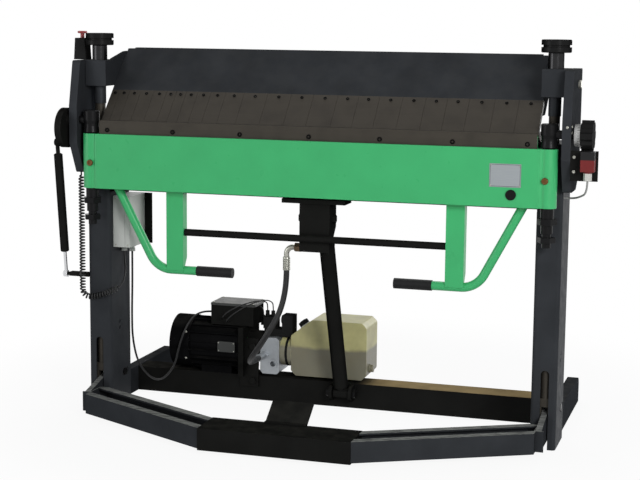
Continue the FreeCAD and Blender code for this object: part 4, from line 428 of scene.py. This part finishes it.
def bare_plate():
    # The blank rating plate: brushed metal with a thin dark line round it.
    surface = Finish("bare_plate", 0.4, 0.75)
    tone = surface.mix(surface.noise(0.6 * MM, 3.0, (60, 1, 1)), srgb(142, 148, 152),
                       srgb(160, 165, 168))
    reach = []
    for index, middle, half in ((X, PLATE_X, PLATE_HALF_X), (Z, PLATE_Z, PLATE_HALF_Z)):
        offset = surface.reckon("SUBTRACT", surface.axis("Object", index), middle * MM)
        away = surface.reckon("ABSOLUTE", offset)
        reach.append(surface.reckon("SUBTRACT", half * MM, away))
    line = surface.reckon("COMPARE", surface.reckon("MINIMUM", *reach), PLATE_LINE_INSET * MM)
    line.node.inputs[2].default_value = PLATE_LINE_HALF * MM
    tone = surface.mix(line, tone, srgb(52, 56, 58))
    return surface.finish(tone, surface.patches(4 * MM, 3.0, (0.34, 0.5)),
                          surface.rounded(0.4 * MM))


# The bend line, which the dial turns about, and the knurls round its rim
BEND_Y, BEND_Z = -340, 862
KNURLS = 72.0


def knurled_dial():
    # The dial's rim: fine straight knurling across its width, each knurl painted light on one
    # flank and dark on the other as painted highlight and shade.
    surface = Finish("knurled_dial", 0.34, 0.9)
    across = surface.reckon("SUBTRACT", surface.axis("Object", Y), BEND_Y * MM)
    above = surface.reckon("SUBTRACT", surface.axis("Object", Z), BEND_Z * MM)
    turn = surface.times(surface.reckon("ARCTAN2", across, above), KNURLS)
    ridge = surface.spread(surface.reckon("SINE", turn), (0.0, 1.0), (-1.0, 1.0))
    grime = surface.patches(12 * MM, 4.0, (0.0, 0.4), (0.45, 0.75))
    # Painted highlight and shade: the colour swings from dark to light across each knurl.
    tone = surface.mix(ridge, srgb(96, 96, 95), srgb(204, 205, 204))
    tone = surface.mix(grime, tone, srgb(90, 88, 84))
    return surface.finish(tone, surface.patches(5 * MM, 3.0, (0.28, 0.44)),
                          surface.bump(ridge, 0.6, 0.5 * MM, surface.rounded(0.6 * MM)))


def screw_black():
    # Oiled black screws: near black, with small sharp glints on their rims painted in as light
    # grey colour.
    surface = Finish("screw_black", 0.2, 0.6, 0.1)
    normal = surface.rounded(0.6 * MM)
    tone = surface.mix(surface.noise(3 * MM, 2.0), srgb(8, 8, 8), srgb(15, 15, 15))
    # Painted highlight: the rims are painted light grey as glints.
    tone = surface.mix(surface.times(surface.edge(normal), 0.12), tone, srgb(120, 120, 118))
    return surface.finish(tone, surface.patches(4 * MM, 2.0, (0.16, 0.26)), normal)


def stem_black():
    # Polished blackened steel: dark at its rims, with one narrow highlight.
    surface = Finish("stem_black", 0.16, 0.85)
    surface.darken_rims(0.1)
    tone = surface.mix(surface.noise(14 * MM, 3.0), srgb(40, 40, 41), srgb(56, 56, 57))
    return surface.finish(tone, surface.patches(9 * MM, 3.0, (0.13, 0.2)),
                          surface.rounded(0.5 * MM))


# Where the limit switch's head starts and its pale nut ends
SWITCH_HEAD = (802 * MM, 803 * MM)
SWITCH_NUT = (767 * MM, 768 * MM)


def switch_body():
    # The limit switch: a black head, a dark red body and a pale nut round its cable.
    surface, tone, rough, normal = coat("switch_body", srgb(112, 38, 38), 0.36, specular=0.2,
                                        grain=0.5, relief=0.12, blotch=0.08)
    height = surface.axis("Object", Z)
    tone = surface.mix(surface.spread(height, (0.0, 1.0), SWITCH_HEAD), tone, srgb(26, 26, 27))
    tone = surface.mix(surface.spread(height, (1.0, 0.0), SWITCH_NUT), tone,
                       srgb(196, 196, 190))
    return surface.finish(tone, rough, normal)


COATS = {
    "anthracite": dict(colour=ANTHRACITE, roughness=0.42, **DARK, wear=0.35, dust=0.1),
    "black_paint": dict(colour=BLACK, roughness=0.36, **DARK, wear=0.3, dust=0.06),
    "motor_black": dict(colour=srgb(18, 18, 19), roughness=0.30, **DARK, relief=0.35, wear=0.3,
                        worn=srgb(80, 80, 78), dust=0.06),
    "lid_grey": dict(colour=srgb(62, 63, 62), roughness=0.4, specular=0.3, wear=0.4, dust=0.25),
    "green_paint": dict(colour=GREEN, roughness=0.33, specular=0.3, relief=0.16, blotch=0.04),
    "grip_rubber": dict(colour=srgb(21, 21, 22), roughness=0.62, specular=0.2, grain=0.7,
                        relief=0.5),
    "black_plastic": dict(colour=srgb(34, 34, 34), roughness=0.27, **DARK, grain=0.6,
                          relief=0.15),
    "grey_plastic": dict(colour=srgb(188, 190, 186), roughness=0.48, grain=0.5, relief=0.15,
                         blotch=0.05),
    "red_plastic": dict(colour=srgb(150, 34, 36), roughness=0.32, grain=0.5, relief=0.12,
                        blotch=0.08),
    "cable_black": dict(colour=srgb(20, 20, 21), roughness=0.5, specular=0.35, grain=0.5,
                        relief=0.2),
    "cable_grey": dict(colour=srgb(150, 150, 148), roughness=0.45, grain=0.5, relief=0.15),
    # The columns' coat has a trace of plain gloss in place of the metallic share.
    "column": dict(colour=ANTHRACITE, roughness=0.42, specular=0.015, wear=0.35, dust=0.1),
}
METALS = {
    "blade_steel": dict(colour=srgb(64, 60, 54), roughness=0.5, metallic=0.35, specular=0.15,
                        stretch=(40, 1, 1), grain=0.9, stain=srgb(50, 47, 43), radius=0.5),
    "blackened_steel": dict(colour=srgb(28, 28, 29), roughness=0.28, metallic=0.4,
                            specular=0.08, stretch=(1, 1, 0.2), stain=srgb(22, 21, 21)),
    "chromed_rod": dict(colour=srgb(205, 206, 208), roughness=0.12, relief=0.03, blotch=0.03),
    "zinc_steel": dict(colour=srgb(168, 168, 160), roughness=0.32, relief=0.15,
                       stain=srgb(110, 106, 96)),
    "cast_aluminium": dict(colour=srgb(158, 162, 166), roughness=0.42, metallic=0.85, grain=1.4,
                           relief=0.4),
    "brass": dict(colour=srgb(104, 74, 42), roughness=0.4, metallic=0.8, stain=srgb(72, 50, 30)),
    # Passivated steel that has turned brown
    "nut_brown": dict(colour=srgb(112, 92, 70), roughness=0.38, metallic=0.8,
                      stain=srgb(60, 50, 42)),
}
FINISHES = {name: coated(name, **choices) for name, choices in COATS.items()}
FINISHES.update({name: metal(name, **choices) for name, choices in METALS.items()})
FINISHES.update(tank_plastic=tank_plastic(), screw_black=screw_black(),
                stem_black=stem_black())

# Nodes whose finish isn't their slot's own
SPECIAL = {
    "treadle_arms": trodden_coat(), "rear_cross_beam": rear_beam_coat(),
    "rating_plate": bare_plate(), "angle_dial": knurled_dial(), "limit_switch": switch_body(),
    "side_brackets": FINISHES["black_paint"], "frame_bolts": FINISHES["zinc_steel"],
    "rail_screws": FINISHES["screw_black"], "segment_screws": FINISHES["screw_black"],
    "column_left": FINISHES["column"], "column_right": FINISHES["column"],
}


def dress_nodes():
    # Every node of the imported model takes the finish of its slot, or its own.
    for row in frame["record"]["subparts"]:
        finish = SPECIAL.get(row["node"], FINISHES[row["material_slot"]])
        for place in nodes[row["node"]].material_slots:
            place.link = "OBJECT"
            place.material = finish


dress_nodes()


# Shapes of the small pieces, as lists of points in millimetres and of faces

RIGHT, LEFT = (1, 0, 0), (-1, 0, 0)
FRONT = (0, -1, 0)
UP, DOWN = (0, 0, 1), (0, 0, -1)
SMOOTH_BELOW = math.radians(32)


def strips(rows, count):
    # The faces between rows of count points each, closed round, and both ends.
    faces = []
    for row in range(rows - 1):
        for index in range(count):
            near = row * count + index
            far = row * count + (index + 1) % count
            faces.append((near, far, far + count, near + count))
    faces.append(tuple(reversed(range(count))))
    faces.append(tuple(range((rows - 1) * count, rows * count)))
    return faces


def turned(profile, at, axis, sides=32, flutes=0, depth=0.0):
    # A turned shape: profile holds (radius, distance along the axis); flutes wave the side.
    way = Vector(axis).normalized()
    side = way.orthogonal().normalized()
    over = way.cross(side)
    points = []
    for radius, distance in profile:
        for index in range(sides):
            angle = 2 * math.pi * index / sides
            reach = radius + (depth * math.cos(flutes * angle) if flutes else 0)
            points.append(Vector(at) + way * distance
                          + (side * math.cos(angle) + over * math.sin(angle)) * reach)
    return points, strips(len(profile), sides)


def swept(path, radius, sides=24):
    # A round bar along a path.
    points = []
    side = (path[1] - path[0]).orthogonal().normalized()
    for index, point in enumerate(path):
        before = path[max(0, index - 1)]
        after = path[min(len(path) - 1, index + 1)]
        way = (after - before).normalized()
        side = (side - way * side.dot(way)).normalized()
        over = way.cross(side)
        for turn in range(sides):
            angle = 2 * math.pi * turn / sides
            points.append(point + (side * math.cos(angle) + over * math.sin(angle)) * radius)
    return points, strips(len(path), sides)


def placed(axis, level, one, two):
    # A point at a level of one axis, and at one and two of the other axes.
    first, second = [index for index in range(3) if index != axis]
    place = [0.0, 0.0, 0.0]
    place[axis], place[first], place[second] = level, one, two
    return Vector(place)


def slab(low, high, corner, edge, axis, outward):
    # A flat plate between two corners, rounded in plan and chamfered on its face.
    # It is thin along axis, and outward is 1 or -1, the way that its face looks.
    corner_steps = 5
    first, second = [index for index in range(3) if index != axis]
    quarters = ((high[first], high[second], 1, 1), (low[first], high[second], -1, 1),
                (low[first], low[second], -1, -1), (high[first], low[second], 1, -1))
    outline = []
    for quarter, (one, two, toward_one, toward_two) in enumerate(quarters):
        for step in range(corner_steps):
            angle = math.pi / 2 * (quarter + step / (corner_steps - 1))
            outline.append((one - toward_one * corner, two - toward_two * corner, angle))
    base, face = (low[axis], high[axis]) if outward > 0 else (high[axis], low[axis])
    points = []
    for level, shrink in ((base, 0), (face - outward * edge, 0), (face, edge)):
        for one, two, angle in outline:
            points.append(placed(axis, level, one + (corner - shrink) * math.cos(angle),
                                 two + (corner - shrink) * math.sin(angle)))
    return points, strips(3, len(outline))


def prism(outline, axis, start, end):
    # A flat outline drawn out along an axis, from start to end.
    points = [placed(axis, level, one, two) for level in (start, end) for one, two in outline]
    return points, strips(2, len(outline))


def screw(at, axis, radius, head):
    # A socket screw's head: a low drum with a rounded edge and a socket of half its radius.
    sides = 24
    rim = [(radius, 0), (radius, head * 0.7), (radius * 0.88, head), (radius * 0.5, head)]
    points, faces = turned(rim, at, axis, sides)
    faces.pop()
    sink = Vector(axis).normalized() * head * 0.55
    start, floor = len(points) - sides, len(points)
    points += [point - sink for point in points[start:]]
    for index in range(sides):
        far = (index + 1) % sides
        faces.append((start + index, start + far, floor + far, floor + index))
    faces.append(tuple(range(floor, floor + sides)))
    return points, faces


def make_piece(name, parts, finish, body, *stands_for, material=None):
    # finish is the record's slot, and material is given where it isn't that slot's own.
    points, faces = [], []
    for some_points, some_faces in parts:
        start = len(points)
        points += [point * MM for point in some_points]
        faces += [tuple(start + index for index in face) for face in some_faces]
    mesh = bpy.data.meshes.new(name)
    mesh.from_pydata(points, [], faces)
    mesh.validate()
    shell = bmesh.new()
    shell.from_mesh(mesh)
    bmesh.ops.recalc_face_normals(shell, faces=shell.faces)
    shell.to_mesh(mesh)
    shell.free()
    mesh.shade_smooth()
    mesh.set_sharp_from_angle(angle=SMOOTH_BELOW)
    mesh.materials.append(material or FINISHES[finish])
    item = bpy.data.objects.new(name, mesh)
    scene.collection.objects.link(item)
    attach(item, body)
    if stands_for:
        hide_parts(*stands_for)


# The small pieces. A profile's pairs are a radius and a distance along the axis.

VALLEY_LOW, VALLEY_HIGH = 668.2, 823.8


def make_beam_trim():
    # The valleys where the green plate runs into its end tubes, and the two bolts in the tubes.
    valley = [(630, -364.1), (633, -364), (635.5, -363), (638, -361.4), (640.5, -360.6),
              (643, -360.9), (645, -361.8), (646.8, -362.8), (646.8, -352), (630, -352)]
    parts = [prism([(side * x, y) for x, y in valley], Z, VALLEY_LOW, VALLEY_HIGH)
             for side in (-1, 1)]
    make_piece("beam_valleys", parts, "green_paint", "folding_beam")
    bolts = [screw((x, -363.8, 741), FRONT, 9, 5) for x in (-650, 650)]
    make_piece("beam_bolt_heads", bolts, "brass", "folding_beam", "beam_bolts")


BLOCK_TOP, BLOCK_BACK = 1030.1, -189.6
CHEEK_INSIDE, CHEEK_OUTSIDE = 625.2, 633
SPINDLE_X, SPINDLE_Y = 657, -275
SLEEVE_BASE = 1030.4


def make_cheeks():
    # The girder's end cheeks above its end blocks, and the dark sleeves under the top knobs.
    outline = [(-262, BLOCK_TOP), (-256, 1034.5), (-170, 1053), (-152, 1054), (-130, 1054),
               (-130, 965), (BLOCK_BACK, 965), (BLOCK_BACK, BLOCK_TOP)]
    cheeks = [prism(outline, X, side * CHEEK_INSIDE, side * CHEEK_OUTSIDE) for side in (-1, 1)]
    make_piece("girder_cheeks", cheeks, "anthracite", "upper_beam")
    profile = [(20.6, 0), (21.3, 0.6), (21.3, 40.6), (20.6, 41.2)]
    sleeves = [turned(profile, (x, SPINDLE_Y, SLEEVE_BASE), UP, 48)
               for x in (-SPINDLE_X, SPINDLE_X)]
    make_piece("stem_sleeves", sleeves, "black_plastic", "upper_beam",
               material=FINISHES["stem_black"])


# Where the hose's fitting leaves the barrel, and where its elbow turns down
HOSE_Y, HOSE_Z = -229.22, 508.48
HOSE_DROP_X = -102
ELBOW_RADIUS = 20
ELBOW_STEPS = 12
ELBOW_END = 479
FERRULE_TOP = 480.48
UNION_NUT_FLATS = 24


def make_hose_fitting():
    # Nipple, union nut, bent elbow and crimped ferrule on the barrel's left side.
    nipple = turned([(8, 0), (8, 55)], (-1, HOSE_Y, HOSE_Z), LEFT)
    collar = turned([(10, 0), (10.5, 0.6), (10.5, 4.4), (10, 5)], (-53, HOSE_Y, HOSE_Z), LEFT)
    path = [Vector((-76, HOSE_Y, HOSE_Z))]
    for step in range(ELBOW_STEPS + 1):
        angle = math.pi / 2 * step / ELBOW_STEPS
        path.append(Vector((HOSE_DROP_X + ELBOW_RADIUS * (1 - math.sin(angle)), HOSE_Y,
                            HOSE_Z - ELBOW_RADIUS * (1 - math.cos(angle)))))
    path.append(Vector((HOSE_DROP_X, HOSE_Y, ELBOW_END)))
    profile = [(8.4, 0), (9.8, 0.8), (10.6, 2.5), (11, 4)]
    for ring in range(6):
        start = 6 + ring * 5.2
        profile += [(11, start), (10.1, start + 1.3), (10.1, start + 2.3), (11, start + 3.6)]
    profile += [(11, 37.5), (10.4, 39.3), (9.2, 40)]
    ferrule = turned(profile, (HOSE_DROP_X, HOSE_Y, FERRULE_TOP), DOWN)
    make_piece("hose_elbow", [nipple, collar, swept(path, 7.9), ferrule], "zinc_steel",
               "barrel", "cylinder_fitting")
    corner = UNION_NUT_FLATS / math.sqrt(3)
    nut = turned([(corner - 2.2, 0), (corner, 1.6), (corner, 17.4), (corner - 2.2, 19)],
                 (-58, HOSE_Y, HOSE_Z), LEFT, 6)
    make_piece("union_nut", [nut], "brass", "barrel", "cylinder_fitting",
               material=FINISHES["nut_brown"])


FILLER_AT = (-117, 7.3, 232.5)
SHOULDER_RUN, SHOULDER_RISE = 66, 51
DRAIN_AT = (86, 8, 114)
NECK_AT = (-170, 8, 150)


def make_tank_fittings():
    # The filler's ribbed cap on its grey ring, the drain plug and the clamp round the neck.
    slope = math.atan2(SHOULDER_RISE, SHOULDER_RUN)
    out = (-math.sin(slope), 0, math.cos(slope))
    cap = turned([(15.2, 3), (15.2, 13.5), (14.2, 15.2), (12, 16)], FILLER_AT, out, 96, 24, 0.45)
    button = turned([(9, 15.5), (9, 16.4), (8, 17)], FILLER_AT, out)
    make_piece("filler_cap", [cap, button], "black_plastic", "frame", "tank_fittings")
    ring = turned([(16.5, -1.5), (17.4, -0.5), (17.4, 2), (16.6, 3)], FILLER_AT, out, 40)
    make_piece("filler_ring", [ring], "grey_plastic", "frame")
    washer = turned([(12.5, -0.5), (13, 0.5), (13, 2), (12.5, 2.5)], DRAIN_AT, RIGHT)
    plug = turned([(11.4, 2.5), (12.7, 3.5), (12.7, 10.5), (11.2, 12)], DRAIN_AT, RIGHT, 6)
    make_piece("drain_plug", [washer, plug], "tank_plastic", "frame", "tank_fittings")
    clamp = turned([(45.2, 0), (45.9, 0.6), (45.9, 7.4), (45.2, 8)], NECK_AT, RIGHT, 64)
    make_piece("neck_clamp", [clamp], "black_plastic", "frame")


VALVE_Y = 8
VALVE_PLUGS = ((-221, 254), (-239, 254), (-252, 239))


def make_valve_boots():
    # Ribbed rubber boots over the three plugs on the valves.
    profile = [(6.4, 0.2)]
    for rib in range(4):
        radius = 6.9 - rib * 0.5
        start = 1.5 + rib * 3
        profile += [(radius, start), (radius, start + 1.4), (radius - 1.3, start + 1.9),
                    (radius - 1.3, start + 2.6)]
    profile += [(3.6, 14), (2.9, 16)]
    parts = [turned(profile, (x, VALVE_Y, base), UP, 24) for x, base in VALVE_PLUGS]
    make_piece("valve_boots", parts, "grip_rubber", "frame")


LID_TOP = 293.5


def make_terminal_lid():
    # The lid overhangs the box to the right and is held by four screws.
    lid = slab((-407, -43, 286), (-263, 59, LID_TOP), 7, 2, Z, 1)
    make_piece("terminal_lid", [lid], "black_paint", "frame", material=FINISHES["lid_grey"])
    screws = [screw((x, y, LID_TOP - 0.3), UP, 3.4, 1.8) for x in (-398, -272)
              for y in (-34, 50)]
    make_piece("terminal_lid_screws", screws, "zinc_steel", "frame")


COWL_AT = Vector((-479, 8, 160))
COWL_RADIUS = 80.6
MOTOR_PLATE_Y = -75.2


def make_motor_trim():
    # A blank plate on the fins, and the cowl's screws.
    plate = slab((-372, MOTOR_PLATE_Y, 149), (-316, MOTOR_PLATE_Y + 2, 181), 3, 0.5, Y, -1)
    make_piece("motor_plate", [plate], "black_paint", "frame", material=FINISHES["lid_grey"])
    screws = [screw((x, MOTOR_PLATE_Y + 0.1, z), FRONT, 1.8, 0.8) for x in (-368, -320)
              for z in (153, 177)]
    for angle in (60, 120, 240, 300):
        way = Vector((0, -math.sin(math.radians(angle)), math.cos(math.radians(angle))))
        screws.append(screw(COWL_AT + way * COWL_RADIUS, way, 3.6, 1.6))
    make_piece("motor_screws", screws, "zinc_steel", "frame")


RIVET_INSET = 4
RIVET_Y = -365.1


def make_plate_rivets():
    # Four rivets near the corners of the rating plate.
    across, up = PLATE_HALF_X - RIVET_INSET, PLATE_HALF_Z - RIVET_INSET
    profile = [(2.1, 0), (2.1, 0.3), (1.7, 0.9), (0.8, 1.2)]
    rivets = [turned(profile, (PLATE_X + x, RIVET_Y, PLATE_Z + z), FRONT, 20)
              for x in (-across, across) for z in (-up, up)]
    make_piece("plate_rivets", rivets, "zinc_steel", "folding_beam")


END_PLATE_SIDE = 713.9
END_PLATE_FRONT = -363.9


def make_right_end_screws():
    # Bright screws on the right end plate and on the limit switch's bracket.
    screws = [screw((724, END_PLATE_FRONT, z), FRONT, 4.4, 3) for z in (769, 807)]
    screws.append(screw((704, END_PLATE_FRONT, 883), FRONT, 3.8, 2.2))
    for y, z, radius, head in ((-354, 884, 3.8, 2.4), (-352, 868, 3.8, 2.4), (-225, 983, 5, 1.8)):
        screws.append(screw((END_PLATE_SIDE, y, z), RIGHT, radius, head))
    make_piece("end_plate_screws", screws, "zinc_steel", "frame")


BOX_FRONT, BOX_BOTTOM = -275.9, 487
GLANDS_X, GLANDS_Y = (-610, -585), -221


def make_box_trim():
    # The electric box's lid screws and the locknuts of its two cable glands.
    screws = [screw((x, BOX_FRONT, z), FRONT, 2.6, 1.2) for x in (-613, -575)
              for z in (494, 630)]
    make_piece("box_screws", screws, "zinc_steel", "frame")
    profile = [(9.4, 0), (10.2, 0.8), (10.2, 3.2), (9.4, 4)]
    nuts = [turned(profile, (x, GLANDS_Y, BOX_BOTTOM), DOWN, 48, 24, 0.25) for x in GLANDS_X]
    make_piece("gland_nuts", nuts, "grey_plastic", "frame")


for make in (make_beam_trim, make_cheeks, make_hose_fitting, make_tank_fittings,
             make_valve_boots, make_terminal_lid, make_motor_trim, make_plate_rivets,
             make_right_end_screws, make_box_trim):
    make()


# Cords: smooth lines with the points of the source's own routes, in millimetres

def line_object(name, points, radius=0.0):
    data = bpy.data.curves.new(name, "CURVE")
    data.dimensions = "3D"
    data.resolution_u = 10
    data.bevel_depth = radius
    data.bevel_resolution = 4
    data.use_fill_caps = True
    spline = data.splines.new("NURBS")
    spline.points.add(len(points) - 1)
    for place, point in zip(spline.points, points):
        place.co = (*point, 1.0)
    spline.order_u = 3
    spline.use_endpoint_u = True
    item = bpy.data.objects.new(name, data)
    scene.collection.objects.link(item)
    return item


def metres(*points):
    return [Vector(point) * MM for point in points]


def make_cord(name, points, diameter, finish, stands_for):
    item = line_object(name, points, diameter / 2)
    item.data.materials.append(FINISHES[finish])
    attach(item, "frame")
    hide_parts(stands_for)


WIRE_DIAMETER = 3.6 * MM

make_cord("hydraulic_hose_line", metres(
    (-102, -229.22, 440.48), (-102, -229.22, 350), (-156, -270, 238), (-234, -218, 142),
    (-234, -90, 142)), 17 * MM, "cable_black", "hydraulic_hose")
make_cord("power_cable_line", metres(
    (-585, -221, 469), (-585, -221, 380), (-597, -200, 285), (-604, -182, 190),
    (-596, -150, 100), (-556, -102, 42), (-508, -86, 88), (-488, -90, 172), (-470, -66, 232),
    (-446, -26, 262), (-405, -26, 262)), 6 * MM, "cable_black", "power_cables")
make_cord("wire_far_line", metres(
    (-350, -40, 236), (-350, -60, 236), (-342, -76, 248), (-324, -78, 266), (-296, -62, 286),
    (-266, -36, 301), (-238, -8, 306), (-223, 6, 297), (-221, 8, 283.5), (-221, 8, 270)),
    WIRE_DIAMETER, "cable_black", "power_cables")
make_cord("wire_near_line", metres(
    (-362, -40, 248), (-362, -59, 248), (-354, -74, 259), (-337, -77, 275), (-311, -64, 290),
    (-282, -38, 300), (-256, -10, 303), (-241, 6, 296), (-239, 8, 283), (-239, 8, 270)),
    WIRE_DIAMETER, "cable_black", "power_cables")
make_cord("wire_side_line", metres(
    (-269, 8, 280), (-257.5, 8, 280), (-252, 8, 268), (-252, 8, 255)), WIRE_DIAMETER,
    "cable_black", "power_cables")
make_cord("switch_cable_line", metres(
    (762, -380, 748), (762, -380, 716), (738, -334, 700), (716, -286, 690), (690, -286, 690)),
    5.2 * MM, "cable_grey", "switch_cable")


# Curly cord: a helix round a smooth axis, with straight ends

CURLY_ROUTE = metres((-702, -314, 708), (-702, -314, 379), (-702, -314, 350),
                     (-676, -314, 338), (-578, -314, 373), (-584, -270, 415),
                     (-610, -221, 437), (-610, -221, 469))
CURLY_TURNS = 54
CURLY_STEPS = 12
CURLY_DIAMETER = 4.6 * MM
CURLY_MEAN = 6.9 * MM
CURLY_LEAD = 7 * MM
# The helix ends where its axis first passes this place along x; the straight tail starts two
# points further on and takes every fourth point.
CURLY_END_X = -590 * MM
TAIL_SKIP, TAIL_STEP = 2, 4


def spline_points(name, points):
    # The smooth line through a route's points, read from its own spline.
    item = line_object(name, points)
    depsgraph = bpy.context.evaluated_depsgraph_get()
    mesh = bpy.data.meshes.new_from_object(item.evaluated_get(depsgraph))
    found = [vertex.co.copy() for vertex in mesh.vertices]
    bpy.data.meshes.remove(mesh)
    bpy.data.objects.remove(item)
    return found


def ease(value):
    value = max(0.0, min(1.0, value))
    return value * value * (3 - 2 * value)


def make_curly_cord():
    route = spline_points("curly_axis", CURLY_ROUTE)
    passed = [0.0]
    for first, second in zip(route, route[1:]):
        passed.append(passed[-1] + (second - first).length)
    last = next(index for index, point in enumerate(route) if point.x > CURLY_END_X)
    length = passed[last] - CURLY_LEAD
    final = len(route) - 1

    def on_axis(distance):
        index = next((k for k in range(final) if passed[k + 1] >= distance), final - 1)
        share = (distance - passed[index]) / (passed[index + 1] - passed[index])
        way = route[min(final, index + 2)] - route[max(0, index - 1)]
        return route[index].lerp(route[index + 1], share), way.normalized()

    points = [route[0]]
    along_y = Vector((0, 1, 0))
    for step in range(CURLY_TURNS * CURLY_STEPS + 1):
        turn = step / CURLY_STEPS
        centre, way = on_axis(CURLY_LEAD + length * turn / CURLY_TURNS)
        swell = CURLY_MEAN * ease(turn) * ease(CURLY_TURNS - turn)
        side = way.cross(along_y).normalized()
        angle = 2 * math.pi * turn
        points.append(centre + side * (swell * math.cos(angle))
                      + along_y * (swell * math.sin(angle)))
    points += route[last + TAIL_SKIP::TAIL_STEP]
    if (points[-1] - route[-1]).length > MM:
        points.append(route[-1])
    make_cord("curly_cord_line", points, CURLY_DIAMETER, "cable_black",
              "curly_cord")


make_curly_cord()
